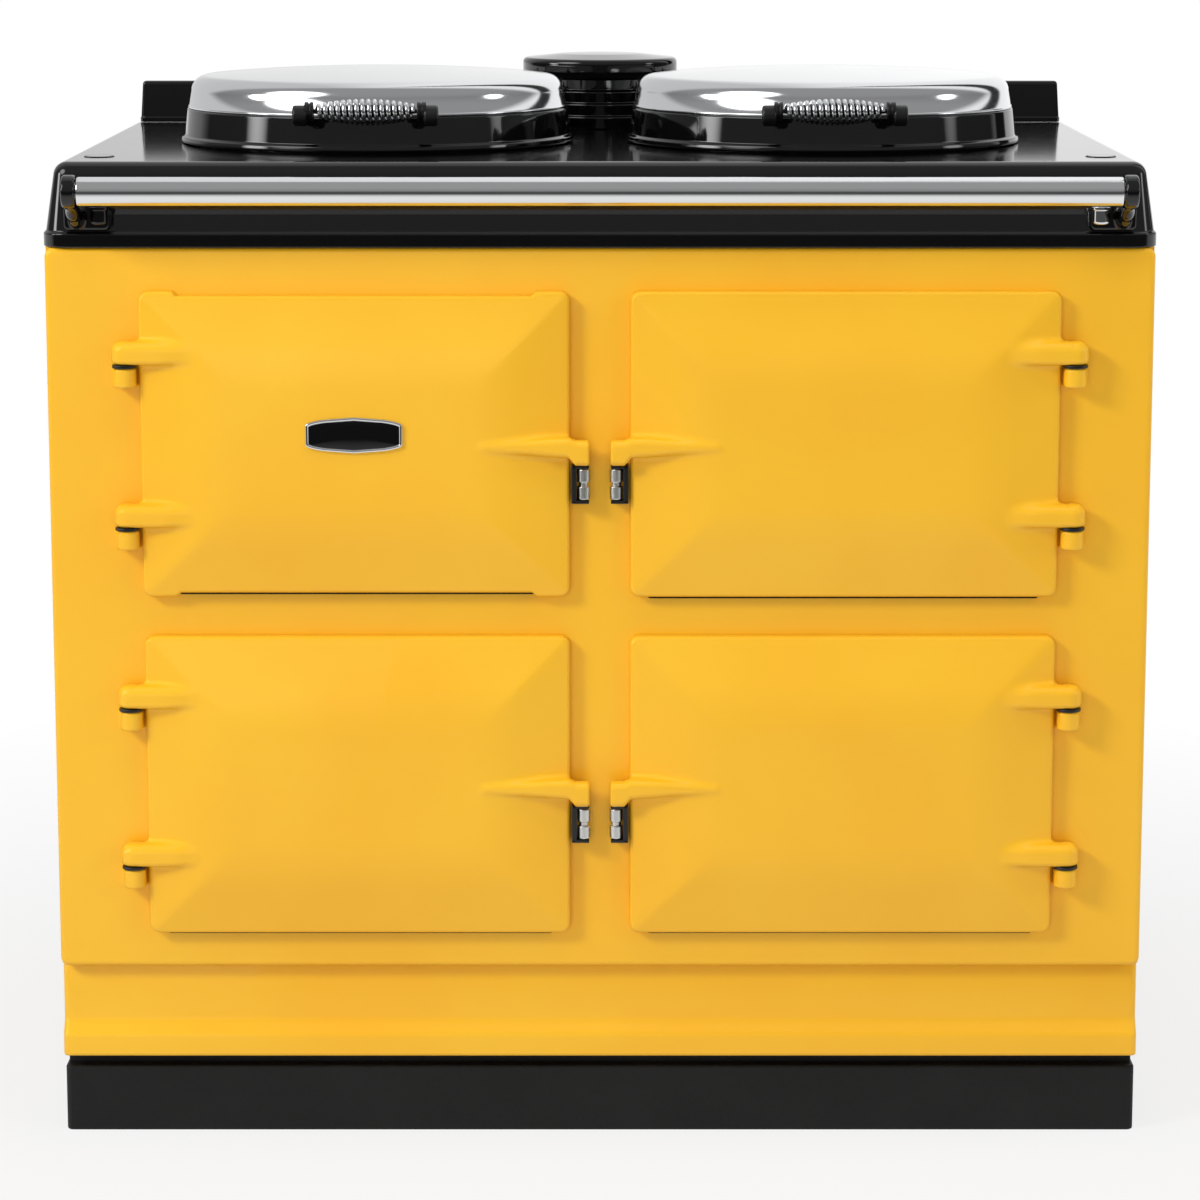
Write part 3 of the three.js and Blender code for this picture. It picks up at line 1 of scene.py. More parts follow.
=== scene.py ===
"""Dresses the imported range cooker: enamelled castings, chrome and steel, a plain studio and a camera.

Sizes are in millimetres, in the frame of the CAD model: +Z up, the doors face -Y, the origin on the floor.
"""

import functools
import logging
import math
from collections.abc import Callable, Sequence
from dataclasses import dataclass, replace
from enum import Enum

import bmesh
import bpy
import numpy as np
from mathutils import Matrix, Vector


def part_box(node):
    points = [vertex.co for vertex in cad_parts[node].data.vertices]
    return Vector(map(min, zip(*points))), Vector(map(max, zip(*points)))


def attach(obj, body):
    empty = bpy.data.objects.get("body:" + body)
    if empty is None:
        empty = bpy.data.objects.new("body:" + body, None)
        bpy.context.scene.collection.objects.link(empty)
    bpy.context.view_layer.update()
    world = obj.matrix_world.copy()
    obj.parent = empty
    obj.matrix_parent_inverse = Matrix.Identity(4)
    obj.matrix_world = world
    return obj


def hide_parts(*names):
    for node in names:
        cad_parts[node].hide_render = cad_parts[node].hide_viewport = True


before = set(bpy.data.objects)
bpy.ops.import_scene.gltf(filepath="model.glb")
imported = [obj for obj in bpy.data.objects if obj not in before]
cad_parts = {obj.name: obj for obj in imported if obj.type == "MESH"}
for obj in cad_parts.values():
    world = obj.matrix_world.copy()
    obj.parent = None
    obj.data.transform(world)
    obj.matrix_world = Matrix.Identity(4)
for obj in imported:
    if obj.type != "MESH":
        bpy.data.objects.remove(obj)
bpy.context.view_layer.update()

MM = 0.001
LOG = logging.getLogger("cooker")

Array = np.ndarray
Mesh = bpy.types.Mesh
Node = bpy.types.Node
Socket = bpy.types.NodeSocket
Tree = bpy.types.NodeTree
Source = Node | Socket | float | tuple
Point = tuple[float, float, float]
Corner = tuple[float, float, float]
Profile = list[tuple[float, float]]
Field = Callable[[Array, Array, Array], Array]


# ---- Where things are ----


class Side(Enum):
    """Left or right of the cooker's middle, seen from in front."""

    LEFT = -1
    RIGHT = 1

    @property
    def word(self) -> str:
        """The word that the CAD nodes use for this side."""
        return self.name.lower()


@dataclass(frozen=True)
class Layout:
    """The sizes that more than one sub-assembly shares."""

    front_y: float = -279.5
    rear_y: float = 346.5
    half_width: float = 493.5
    kick_bottom: float = 74.3
    kick_top: float = 161.0
    plate_bottom: float = 161.3
    plate_top: float = 819.7
    hob_bottom: float = 820.0
    hob_top: float = 895.0
    door_x: float = 218.25
    door_rows: tuple[float, float] = (333.5, 644.5)
    door_half_width: float = 191.25
    door_half_height: float = 137.5
    hinge_x: float = 203.75
    hinge_forward: float = 14.0
    arm_half_height: float = 10.2
    arm_offsets: tuple[float, float] = (83.5, -62.5)
    collar_stack: float = 3.6
    lid_x: float = 212.7
    lid_y: float = 15.0
    rail_y: float = -334.5
    rail_z: float = 874.0

    @property
    def middle_y(self) -> float:
        """The middle of the cooker's depth."""
        return (self.front_y + self.rear_y) / 2

    @property
    def half_depth(self) -> float:
        """Half of the cooker's depth."""
        return (self.rear_y - self.front_y) / 2

    def lug_tops(self, *rows: float) -> list[float]:
        """Heights of the hinge lugs' top faces, for doors whose middles are at the given heights."""
        drop = self.arm_half_height + self.collar_stack
        return [row + offset - drop for row in rows for offset in self.arm_offsets]

    def lid_middle(self, side: Side) -> tuple[float, float]:
        """Where the middle of a lid and its hotplate lies in plan."""
        return side.value * self.lid_x, self.lid_y


LAYOUT = Layout()


@dataclass(frozen=True)
class DoorPlace:
    """A door: its name in the CAD nodes, its side, its middle's height, and how far the dark rope that paints a shade
    line shows below its lower edge.
    """

    name: str
    side: Side
    z: float
    seal_shows: float
    notched: bool = False


DOORS = (
    DoorPlace("top_left", Side.LEFT, LAYOUT.door_rows[1], 2.4, notched=True),
    DoorPlace("top_right", Side.RIGHT, LAYOUT.door_rows[1], 2.2),
    DoorPlace("bottom_left", Side.LEFT, LAYOUT.door_rows[0], 1.7),
    DoorPlace("bottom_right", Side.RIGHT, LAYOUT.door_rows[0], 1.7),
)


# ---- Shapes ----


@dataclass
class Skin:
    """A closed skin, with points in millimetres. Outward says that its faces are known to point outwards."""

    points: Array
    faces: list[tuple[int, ...]]
    outward: bool = False

    def moved(self, x: float = 0, y: float = 0, z: float = 0) -> "Skin":
        """The same skin at another place."""
        return replace(self, points=self.points + np.array([x, y, z]))

    def across(self) -> "Skin":
        """The same skin with its Z axis laid along X."""
        return replace(self, points=self.points[:, [2, 1, 0]] * [1, -1, 1])

    def facing_front(self) -> "Skin":
        """The same skin with its Z axis turned to the front, -Y."""
        return replace(self, points=self.points[:, [0, 2, 1]] * [1, -1, 1])

    def mirrored(self) -> "Skin":
        """The same skin turned over from right to left."""
        return replace(self, points=self.points * [-1, 1, 1], faces=[tuple(reversed(f)) for f in self.faces])

    def sided(self, side: Side) -> "Skin":
        """The skin for one side, from one that was built for the right."""
        return self if side is Side.RIGHT else self.mirrored()

    def plus(self, *others: "Skin") -> "Skin":
        """This skin and others in one piece."""
        points, faces = [self.points], list(self.faces)
        count = len(self.points)
        for other in others:
            points.append(other.points)
            faces.extend(tuple(i + count for i in f) for f in other.faces)
            count += len(other.points)
        return Skin(np.concatenate(points), faces)


def eased(corners: Sequence[Corner], steps: int = 6, support: float = 0.6, loop: bool = False) -> Profile:
    """Rounds the corners of a line of [x, y, radius].

    Args:
        corners: The corners, each with the radius that rounds it.
        steps: Straight steps in each rounding.
        support: How far past a rounding a further point keeps the flat beside it flat.
        loop: Whether the line is closed.

    Returns:
        The points of the eased line, in order.
    """
    made: Profile = []
    count = len(corners)
    for k, (x, y, radius) in enumerate(corners):
        if radius <= 0 or (not loop and k in (0, count - 1)):
            made.append((x, y))
            continue
        here = Vector((x, y))
        before = Vector(corners[(k - 1) % count][:2]) - here
        after = Vector(corners[(k + 1) % count][:2]) - here
        half = before.angle(after) / 2
        reach = min(radius / math.tan(half), before.length * 0.499, after.length * 0.499)
        start, end = before.normalized(), after.normalized()
        real = reach * math.tan(half)
        middle = here + (start + end).normalized() * (real / math.sin(half))
        a, b = here + start * reach - middle, here + end * reach - middle
        if support > 0 and before.length > 2 * (reach + support):
            made.append(tuple(here + start * (reach + support)))
        for step in range(steps + 1):
            turn = a.normalized().slerp(b.normalized(), step / steps)
            made.append(tuple(middle + turn * real))
        if support > 0 and after.length > 2 * (reach + support):
            made.append(tuple(here + end * (reach + support)))
    return made


def lathe(profile: Profile, segments: int) -> Skin:
    """Turns a line of [radius, height] about the Z axis. A closed line makes a ring."""
    points: list[Point] = []
    rows: list[list[int]] = []
    looped = profile[0] == profile[-1]
    for radius, height in profile[:-1] if looped else profile:
        if radius < 1e-6:
            rows.append([len(points)])
            points.append((0.0, 0.0, height))
            continue
        rows.append(list(range(len(points), len(points) + segments)))
        for i in range(segments):
            angle = 2 * math.pi * i / segments
            points.append((radius * math.cos(angle), radius * math.sin(angle), height))
    if looped:
        rows.append(rows[0])
    faces = []
    for low, high in zip(rows, rows[1:]):
        for i in range(segments):
            j = (i + 1) % segments
            face = (low[i % len(low)], low[j % len(low)], high[j % len(high)], high[i % len(high)])
            unique = tuple(dict.fromkeys(face))
            if len(unique) > 2:
                faces.append(unique)
    return Skin(np.array(points), faces)


def turned(corners: Sequence[Corner], steps: int, segments: int, support: float = 0.6,
           loop: bool = False) -> Skin:
    """Turns an eased line of [radius, height, rounding] about the Z axis. A closed line makes a ring."""
    line = eased(corners, steps, support, loop)
    return lathe([*line, line[0]] if loop else line, segments)


def rod(radius: float, low: float, high: float, edge: float, steps: int, segments: int,
        support: float = 0.6) -> Skin:
    """A round rod along the Z axis, with its end faces' edges rounded."""
    corners = [(0, low, 0), (radius, low, edge), (radius, high, edge), (0, high, 0)]
    return turned(corners, steps, segments, support)


def rounded_rectangle(half_x: float, half_y: float, radius: float, steps: int) -> Profile:
    """Corner points of a rounded rectangle round the origin, anticlockwise."""
    made = []
    for corner in range(4):
        sign_x = 1 if corner in (0, 3) else -1
        sign_y = 1 if corner < 2 else -1
        for step in range(steps + 1):
            angle = (corner + step / steps) * math.pi / 2
            x = sign_x * (half_x - radius) + radius * math.cos(angle)
            made.append((x, sign_y * (half_y - radius) + radius * math.sin(angle)))
    return made


def loft(rings: Sequence[Sequence[Point]], loop: bool = False) -> Skin:
    """A closed skin over rings that have the same number of points."""
    count = len(rings[0])
    order = [*range(len(rings)), 0] if loop else list(range(len(rings)))
    faces: list[tuple[int, ...]] = []
    for low, high in zip(order, order[1:]):
        for i in range(count):
            j = (i + 1) % count
            faces.append((low * count + i, low * count + j, high * count + j, high * count + i))
    if not loop:
        faces.append(tuple(reversed(range(count))))
        faces.append(tuple(range((len(rings) - 1) * count, len(rings) * count)))
    return Skin(np.array([p for ring in rings for p in ring], float), faces)


def swept(profile: Profile, half_x: float, half_y: float, corner: float, steps: int = 8, least: float = 0.3,
          loop: bool = False) -> Skin:
    """Carries a line of [how far out, height] round a rectangle, whose corners keep a least radius."""
    rings = []
    for out, z in profile:
        ring = rounded_rectangle(half_x + out, half_y + out, max(corner + out, least), steps)
        rings.append([(x, y, z) for x, y in ring])
    return loft(rings, loop)


def soft_box(size: Point, radius: float, steps: int = 4) -> Skin:
    """A box round the origin with all its edges rounded."""
    half_x, half_y, half_z = (s / 2 for s in size)
    inset = -radius * 1.6
    corners = [(inset, -half_z, 0), (0, -half_z, radius), (0, half_z, radius), (inset, half_z, 0)]
    return swept(eased(corners, steps, support=radius * 0.2), half_x, half_y, radius * 1.01, steps)


def prism(outline: Profile, profile: Profile) -> Skin:
    """Carries an outline along Z through a line of [how far in, height]; it shrinks towards its middle."""
    flat = np.array(outline, float)
    ahead, behind = np.roll(flat, -1, 0) - flat, flat - np.roll(flat, 1, 0)
    normal = sum(way / np.linalg.norm(way, axis=1)[:, None] for way in (ahead, behind))
    normal = np.stack([-normal[:, 1], normal[:, 0]], 1) / np.linalg.norm(normal, axis=1)[:, None]
    return loft([[(p[0], p[1], z) for p in flat + normal * inset] for inset, z in profile])


# ---- Castings: forms that flow into each other, as distances from their surface ----


def round_both(a: Array, b: Array, radius: float | Array) -> Array:
    """What is inside both forms, with the edge between them rounded."""
    outside = np.hypot(np.maximum(a + radius, 0), np.maximum(b + radius, 0))
    return np.minimum(np.maximum(a, b), -radius) + outside


def flow(a: Array, b: Array, reach: float) -> Array:
    """What is inside either form, with a fillet where they meet."""
    share = np.clip(0.5 + 0.5 * (b - a) / reach, 0, 1)
    return b * (1 - share) + a * share - reach * share * (1 - share)


def within(value: Array, low: float, high: float) -> Array:
    """Distance to the space between two planes."""
    return np.maximum(low - value, value - high)


def graded(start: float, stop: float, coarse: float, fine: float = 0.0,
           spans: Sequence[tuple[float, float]] = ()) -> Array:
    """Grid lines that lie close together inside the given spans and further apart between them."""
    made = [start]
    while made[-1] < stop:
        here = made[-1]
        near = min((max(low - here, here - high, 0) for low, high in spans), default=1e9)
        made.append(here + min(coarse, fine + near * 0.3))
    return np.array(made)


def cast(form: Field, xs: Array, ys: Array, zs: Array, passes: int = 3) -> Skin:
    """Makes the skin of a form on a grid, then moves each point onto the form's surface.

    Args:
        form: Signed distance from the surface, negative inside.
        xs: Grid lines along X. The form lies inside the grid.
        ys: Grid lines along Y.
        zs: Grid lines along Z.
        passes: How often the points are moved towards the surface.

    Returns:
        The skin, with its faces pointing outwards.
    """
    axes = (xs, ys, zs)
    values = form(*np.meshgrid(xs, ys, zs, indexing="ij"))
    cells = tuple(len(a) - 1 for a in axes)
    total, count = np.zeros((*cells, 3)), np.zeros(cells)
    crossings = []
    for axis in range(3):
        low, high = [slice(None)] * 3, [slice(None)] * 3
        low[axis], high[axis] = slice(0, -1), slice(1, None)
        a, b = values[tuple(low)], values[tuple(high)]
        cuts = (a < 0) != (b < 0)
        share = np.where(cuts, a / np.where(a == b, 1, a - b), 0)
        lines = [g[:-1] if k == axis else g for k, g in enumerate(axes)]
        place = np.stack(np.meshgrid(*lines, indexing="ij"), -1)
        place[..., axis] += share * np.diff(axes[axis]).reshape([-1 if k == axis else 1 for k in range(3)])
        crossings.append((cuts, a < 0))
        others = [k for k in range(3) if k != axis]
        for shifts in ((0, 0), (0, 1), (1, 0), (1, 1)):
            part = [slice(None)] * 3
            for k, shift in zip(others, shifts):
                part[k] = slice(shift, shift + cells[k])
            hit = cuts[tuple(part)]
            total += place[tuple(part)] * hit[..., None]
            count += hit
    used = count > 0
    names = np.full(cells, -1)
    names[used] = np.arange(used.sum())
    points = total[used] / count[used][:, None]
    quads = []
    for axis, (cuts, inside) in enumerate(crossings):
        first, second = (axis + 1) % 3, (axis + 2) % 3
        where = np.argwhere(cuts)
        keep = (where[:, first] > 0) & (where[:, second] > 0)
        keep &= (where[:, first] < cells[first]) & (where[:, second] < cells[second])
        where = where[keep]
        corners = []
        for back in ((1, 1), (0, 1), (0, 0), (1, 0)):
            cell = where.copy()
            cell[:, [first, second]] -= back
            corners.append(names[tuple(cell.T)])
        quad = np.stack(corners, 1)
        quads.append(np.where(inside[tuple(where.T)][:, None], quad, quad[:, ::-1]))
    for _ in range(passes):
        points = settled(form, points)
    return Skin(points, [tuple(q) for q in np.concatenate(quads).tolist()], outward=True)


def settled(form: Field, points: Array) -> Array:
    """Moves points one step towards the surface of a form."""
    reach = 0.02
    value = form(*points.T)
    ends = [(points + shift, points - shift) for shift in np.eye(3) * reach]
    slope = np.stack([(form(*ahead.T) - form(*behind.T)) / (2 * reach) for ahead, behind in ends], 1)
    step = np.clip(value / np.maximum((slope**2).sum(1), 0.05), -1.5, 1.5)
    return points - slope * step[:, None]


# ---- Nodes ----

VECTOR = "ShaderNodeVectorMath"


def linear(code: str) -> tuple[float, float, float, float]:
    """The linear colour of an sRGB hex value such as #F2BA36."""
    parts = [int(code[i : i + 2], 16) / 255 for i in (1, 3, 5)]
    made = [p / 12.92 if p <= 0.04045 else ((p + 0.055) / 1.055) ** 2.4 for p in parts]
    return (*made, 1.0)


def add_node(tree: Tree, kind: str, settings: dict | None = None) -> Node:
    """Adds one node to a tree.

    Args:
        tree: The tree that gets the node.
        kind: The node's Blender type.
        settings: Properties by name, and inputs by name or number. An input gets a constant, a link from
            another node's output, or a link from the first output of another node.

    Returns:
        The node.
    """
    made = tree.nodes.new(kind)
    for key, value in (settings or {}).items():
        if isinstance(value, Node | Socket):
            tree.links.new(value.outputs[0] if isinstance(value, Node) else value, made.inputs[key])
        elif isinstance(key, str) and hasattr(made, key):
            setattr(made, key, value)
        else:
            made.inputs[key].default_value = value
    return made


def calc(tree: Tree, operation: str, *inputs: Source, kind: str = "ShaderNodeMath") -> Node:
    """One step of arithmetic on nodes, sockets and constants."""
    return add_node(tree, kind, {"operation": operation, **dict(enumerate(inputs))})


def spread(tree: Tree, value: Source, source: tuple[float, float], target: tuple[float, float]) -> Node:
    """Carries a value from one range into another."""
    return add_node(tree, "ShaderNodeMapRange", {0: value, **dict(enumerate((*source, *target), 1))})


def blend(tree: Tree, share: Source, first: Source | str, second: Source | str, kind: str = "MIX") -> Socket:
    """A colour between two others, by a share from 0 to 1. Each is a hex value or comes from a node."""
    first, second = (linear(colour) if isinstance(colour, str) else colour for colour in (first, second))
    settings = {"data_type": "RGBA", "blend_type": kind, 0: share, 6: first, 7: second}
    return add_node(tree, "ShaderNodeMix", settings).outputs[2]


def noise(tree: Tree, place: Source, size_mm: float, detail: float) -> Node:
    """Soft noise whose spots have a given size."""
    settings = {"Scale": 1 / (size_mm * MM), "Detail": detail, "Vector": place}
    return add_node(tree, "ShaderNodeTexNoise", settings)


def dent(tree: Tree, height: Source, depth_mm: float) -> Node:
    """The normal of a surface with fine relief of a given depth."""
    return add_node(tree, "ShaderNodeBump", {"Strength": 1.0, "Distance": depth_mm * MM, "Height": height})


def seen_ray(tree: Tree) -> Node:
    """1 for what the camera sees, straight or in a mirror or glass, and 0 for light on the object."""
    path = add_node(tree, "ShaderNodeLightPath").outputs
    straight = calc(tree, "MAXIMUM", path["Is Camera Ray"], path["Is Glossy Ray"])
    return calc(tree, "MAXIMUM", straight, path["Is Transmission Ray"])


# ---- Finishes ----


def surface(name: str) -> tuple[bpy.types.Material, Tree, Socket]:
    """An empty node material, its tree and the place of a point in the piece's own frame, in metres."""
    material = bpy.data.materials.new(name)
    material.use_nodes = True
    tree = material.node_tree
    tree.nodes.clear()
    return material, tree, add_node(tree, "ShaderNodeTexCoord").outputs["Object"]


@dataclass(frozen=True)
class Finish:
    """What every finish has: a name, a material slot's name, a colour and a roughness."""

    name: str
    slot: str
    colour: str
    roughness: float

    def shader(self, tree: Tree, place: Socket) -> dict[str, object]:
        """Adds the finish's nodes to a tree and returns the shader's inputs."""
        raise NotImplementedError

    @functools.cache
    def material(self) -> bpy.types.Material:
        """The material, which is built when it is first asked for."""
        made, tree, place = surface(self.name)
        shader = add_node(tree, "ShaderNodeBsdfPrincipled", self.shader(tree, place))
        add_node(tree, "ShaderNodeOutputMaterial", {"Surface": shader})
        return made


@dataclass(frozen=True)
class Enamel(Finish):
    """Vitreous enamel: glossy glass fused onto cast iron in coats, with a faint ripple where it flowed."""

    pooled: str
    ripple_mm: float = 9.0
    ripple_depth_mm: float = 0.012
    fleck: str | None = None
    fleck_spacing_mm: float = 3.5
    worn_above_mm: float | None = None
    worn_roughness: float = 0.055

    def shader(self, tree: Tree, place: Socket) -> dict[str, object]:
        """Pools of deeper colour, a ripple, flecks and a top face that wiping has dulled."""
        cloud, grain = noise(tree, place, 160, 2), noise(tree, place, self.ripple_mm, 1)
        colour = blend(tree, spread(tree, cloud, (0.3, 0.7), (0, 1)), self.colour, self.pooled)
        if self.fleck:
            settings = {"Scale": 1 / (self.fleck_spacing_mm * MM), "Vector": place}
            flecks = add_node(tree, "ShaderNodeTexVoronoi", settings).outputs["Distance"]
            colour = blend(tree, spread(tree, flecks, (0.16, 0.1), (0, 1)), colour, self.fleck)
        rough = spread(tree, cloud, (0.3, 0.7), (self.roughness * 0.9, self.roughness * 1.12))
        if self.worn_above_mm is not None:
            height = add_node(tree, "ShaderNodeSeparateXYZ", {0: place}).outputs["Z"]
            line = self.worn_above_mm * MM
            worn = spread(tree, height, (line - 0.0004, line), (0, self.worn_roughness))
            rough = calc(tree, "ADD", rough, worn)
        return {"IOR": 1.52, "Base Color": colour, "Roughness": rough,
                "Normal": dent(tree, grain, self.ripple_depth_mm)}


class Lay(Enum):
    """Which way the fine lines of a metal's last working run."""

    ALONG_X = (1.0, 60.0, 60.0)
    ALONG_Z = (60.0, 60.0, 1.0)
    EVERY_WAY = (8.0, 8.0, 8.0)
    ROUND = (0.0, 0.0, 0.0)


@dataclass(frozen=True)
class BrightMetal(Finish):
    """Plated or polished metal, with the fine lines that polishing leaves."""

    lay: Lay = Lay.EVERY_WAY
    line_mm: float = 0.7
    line_depth_mm: float = 0.002
    middle_mm: tuple[float, float] = (0.0, 0.0)

    def shader(self, tree: Tree, place: Socket) -> dict[str, object]:
        """Fine lines, round a middle or along one way, and soft smears."""
        if self.lay is Lay.ROUND:
            shift = (-self.middle_mm[0] * MM, -self.middle_mm[1] * MM, 0)
            centred = add_node(tree, "ShaderNodeMapping", {"Location": shift, "Vector": place})
            flat = calc(tree, "MULTIPLY", centred, (1, 1, 0), kind=VECTOR)
            out = calc(tree, "LENGTH", flat, kind=VECTOR).outputs["Value"]
            lines = noise(tree, add_node(tree, "ShaderNodeCombineXYZ", {"X": out}), self.line_mm, 3)
        else:
            stretch = tuple(v / 60 / (self.line_mm * MM) for v in self.lay.value)
            pulled = add_node(tree, "ShaderNodeMapping", {"Scale": stretch, "Vector": place})
            lines = noise(tree, pulled, 1000, 3)
        both = calc(tree, "ADD", lines, noise(tree, place, 1000 / 18, 2))
        rough = spread(tree, both, (0.7, 1.3), (self.roughness * 0.75, self.roughness * 1.3))
        return {"Metallic": 1.0, "Base Color": linear(self.colour), "Roughness": rough,
                "Normal": dent(tree, lines, self.line_depth_mm)}


@dataclass(frozen=True)
class CoatedMetal(Finish):
    """Metal under a thin dull coat: powder coat, stove black or the skin of a casting, with a fine grain."""

    worn: str
    metallic: float = 0.0
    grain_mm: float = 1.2
    grain_depth_mm: float = 0.03
    index: float = 1.5

    def shader(self, tree: Tree, place: Socket) -> dict[str, object]:
        """A fine grain, and clouds of a paler, worn colour."""
        grain, cloud = noise(tree, place, self.grain_mm, 3), noise(tree, place, 70, 4)
        colour = blend(tree, spread(tree, cloud, (0.35, 0.7), (0, 1)), self.colour, self.worn)
        rough = spread(tree, grain, (0.3, 0.7), (self.roughness * 0.85, self.roughness * 1.15))
        return {"Metallic": self.metallic, "IOR": self.index, "Base Color": colour, "Roughness": rough,
                "Normal": dent(tree, grain, self.grain_depth_mm)}


YELLOW = Enamel("yellow_vitreous_enamel", "yellow_enamel", "#F5BC26", 0.36, "#F3B523", 14, 0.02)
BLACK = Enamel("black_vitreous_enamel", "black_enamel", "#050506", 0.05, "#070708", 11, 0.006)
HOB_BLACK = replace(BLACK, name="black_vitreous_enamel_wiped_top", worn_above_mm=894.8)
OVEN_GREY = Enamel("speckled_oven_enamel", "grey_enamel", "#25272A", 0.3, "#2A2C2F", fleck="#B9BBBD")
CHROME = BrightMetal("chrome_plate", "chrome", "#DFE1E3", 0.07)
RAIL_CHROME = BrightMetal("polished_rail", "chrome", "#E2E3E4", 0.13, Lay.ALONG_X, 0.5, 0.0015)
STEEL = BrightMetal("ground_steel", "bright_steel", "#D6D6D2", 0.32, Lay.ALONG_Z, 0.5, 0.004)
LINER = BrightMetal("aluminised_steel", "liner_steel", "#A9AAA9", 0.36, Lay.ALONG_X, 0.8, 0.004)
STOVE_BLACK = CoatedMetal("stove_black_steel", "satin_black", "#0C0C0D", 0.34, "#111112")
BASE_BLACK = CoatedMetal("powder_coated_base", "satin_black", "#101010", 0.55, "#151515", 0, 2.0, 0.05, 1.33)
# A dark rope that serves only as painted shade: the line of shade under each door's lower edge.
SHADE_ROPE = CoatedMetal("graphited_seal_rope", "satin_black", "#17130C", 0.85, "#221B10", 0, 1.6, 0.3, 1.3)
IRON = CoatedMetal("bare_cast_iron", "cast_iron", "#3B3A39", 0.55, "#4A4846", 0.7, 1.0, 0.08)


def spun(side: Side, name: str, slot: str, colour: str, roughness: float, line_mm: float,
         depth_mm: float) -> Finish:
    """Metal that was spun or turned about the middle of a lid."""
    middle = LAYOUT.lid_middle(side)
    return BrightMetal(f"{name}_{side.word}", slot, colour, roughness, Lay.ROUND, line_mm, depth_mm, middle)


# ---- Pieces ----


def dress(finish: Finish, *nodes: str) -> None:
    """Gives CAD nodes, whose shape stays, a finish."""
    for name in nodes:
        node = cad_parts[name]
        node.data.materials.clear()
        node.data.materials.append(finish.material())
        LOG.info("node %s keeps its shape, in %s", name, finish.name)


def mesh_of(name: str, skin: Skin, sharp: float) -> Mesh:
    """A smooth-shaded mesh of a skin, in metres, with edges sharper than an angle left sharp."""
    mesh = bpy.data.meshes.new(name)
    mesh.from_pydata((skin.points * MM).tolist(), [], skin.faces)
    if not skin.outward:
        work = bmesh.new()
        work.from_mesh(mesh)
        bmesh.ops.remove_doubles(work, verts=work.verts, dist=1e-6)
        bmesh.ops.recalc_face_normals(work, faces=work.faces)
        work.to_mesh(mesh)
        work.free()
    mesh.shade_smooth()
    mesh.set_sharp_from_angle(angle=math.radians(sharp))
    return mesh


def in_scene(name: str, data: bpy.types.ID) -> bpy.types.Object:
    """A new object in the scene."""
    made = bpy.data.objects.new(name, data)
    bpy.context.scene.collection.objects.link(made)
    return made


def baked_down(host: bpy.types.Object) -> Mesh:
    """What an object's modifiers make of it, as a plain mesh. The object itself is removed."""
    bpy.context.view_layer.update()
    mesh = bpy.data.meshes.new_from_object(host.evaluated_get(bpy.context.evaluated_depsgraph_get()))
    bpy.data.objects.remove(host)
    return mesh


def piece(name: str, shape: Skin | Mesh, finish: Finish, replaces: str | None = None, body: str = "cabinet",
          sharp: float = 35.0) -> None:
    """Makes one finished piece of the cooker, at the origin.

    Args:
        name: The piece's name.
        shape: Its skin, or a finished mesh.
        finish: Its finish.
        replaces: The CAD node that it stands for, if any.
        body: The CAD body that it rides.
        sharp: Edges that turn by more than this, in degrees, are sharp.
    """
    mesh = mesh_of(name, shape, sharp) if isinstance(shape, Skin) else shape
    mesh.materials.clear()
    mesh.materials.append(finish.material())
    made = in_scene(name, mesh)
    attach(made, body)
    if replaces:
        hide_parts(replaces)
    LOG.info("piece %s: %d faces, rides %s", name, len(mesh.polygons), body)


def cut_out(name: str, shape: Skin, tools: Sequence[Skin], sharp: float) -> Mesh:
    """The mesh of a skin with other skins cut out of it."""
    target = in_scene(name, mesh_of(name, shape, sharp))
    cutters = []
    for k, tool in enumerate(tools):
        cutter = in_scene(f"{name}_cutter_{k}", mesh_of(f"{name}_cutter_{k}", tool, sharp))
        modifier = target.modifiers.new(f"cut_{k}", "BOOLEAN")
        modifier.object, modifier.operation, modifier.solver = cutter, "DIFFERENCE", "EXACT"
        cutters.append(cutter)
    mesh = baked_down(target)
    for cutter in cutters:
        bpy.data.objects.remove(cutter)
    mesh.shade_smooth()
    mesh.set_sharp_from_angle(angle=math.radians(sharp))
    return mesh


class Grower:
    """A geometry node tree with named number inputs, which makes a plain mesh."""

    def __init__(self, name: str, values: dict[str, float]) -> None:
        """Starts the tree, with an input for each value."""
        self.name, self.values = name, values
        self.tree = bpy.data.node_groups.new(name, "GeometryNodeTree")
        self.tree.is_modifier = True
        add_socket = self.tree.interface.new_socket
        self.keys = {
            label: add_socket(name=label, in_out="INPUT", socket_type="NodeSocketFloat").identifier for label in values
        }
        add_socket(name="Geometry", in_out="OUTPUT", socket_type="NodeSocketGeometry")
        self.given = add_node(self.tree, "NodeGroupInput").outputs

    def add(self, kind: str, settings: dict | None = None) -> Node:
        """Adds one geometry node."""
        return add_node(self.tree, f"GeometryNode{kind}", settings)

    def mesh(self, shape: Node, finish: Finish, place: Point) -> Mesh:
        """Ends the tree, runs it with its inputs set and moves what it makes to its place.

        Args:
            shape: The node that makes the whole shape.
            finish: The finish that the tree sets.
            place: Where the tree's origin goes, in millimetres.

        Returns:
            The plain mesh.
        """
        real = self.add("RealizeInstances", {"Geometry": shape})
        painted = self.add("SetMaterial", {"Geometry": real, "Material": finish.material()})
        add_node(self.tree, "NodeGroupOutput", {"Geometry": painted})
        host = in_scene(self.name, bpy.data.meshes.new(self.name))
        modifier = host.modifiers.new(self.name, "NODES")
        modifier.node_group = self.tree
        for label, value in self.values.items():
            modifier[self.keys[label]] = value
        mesh = baked_down(host)
        mesh.name = self.name
        mesh.transform(Matrix.Translation(Vector(place) * MM))
        return mesh


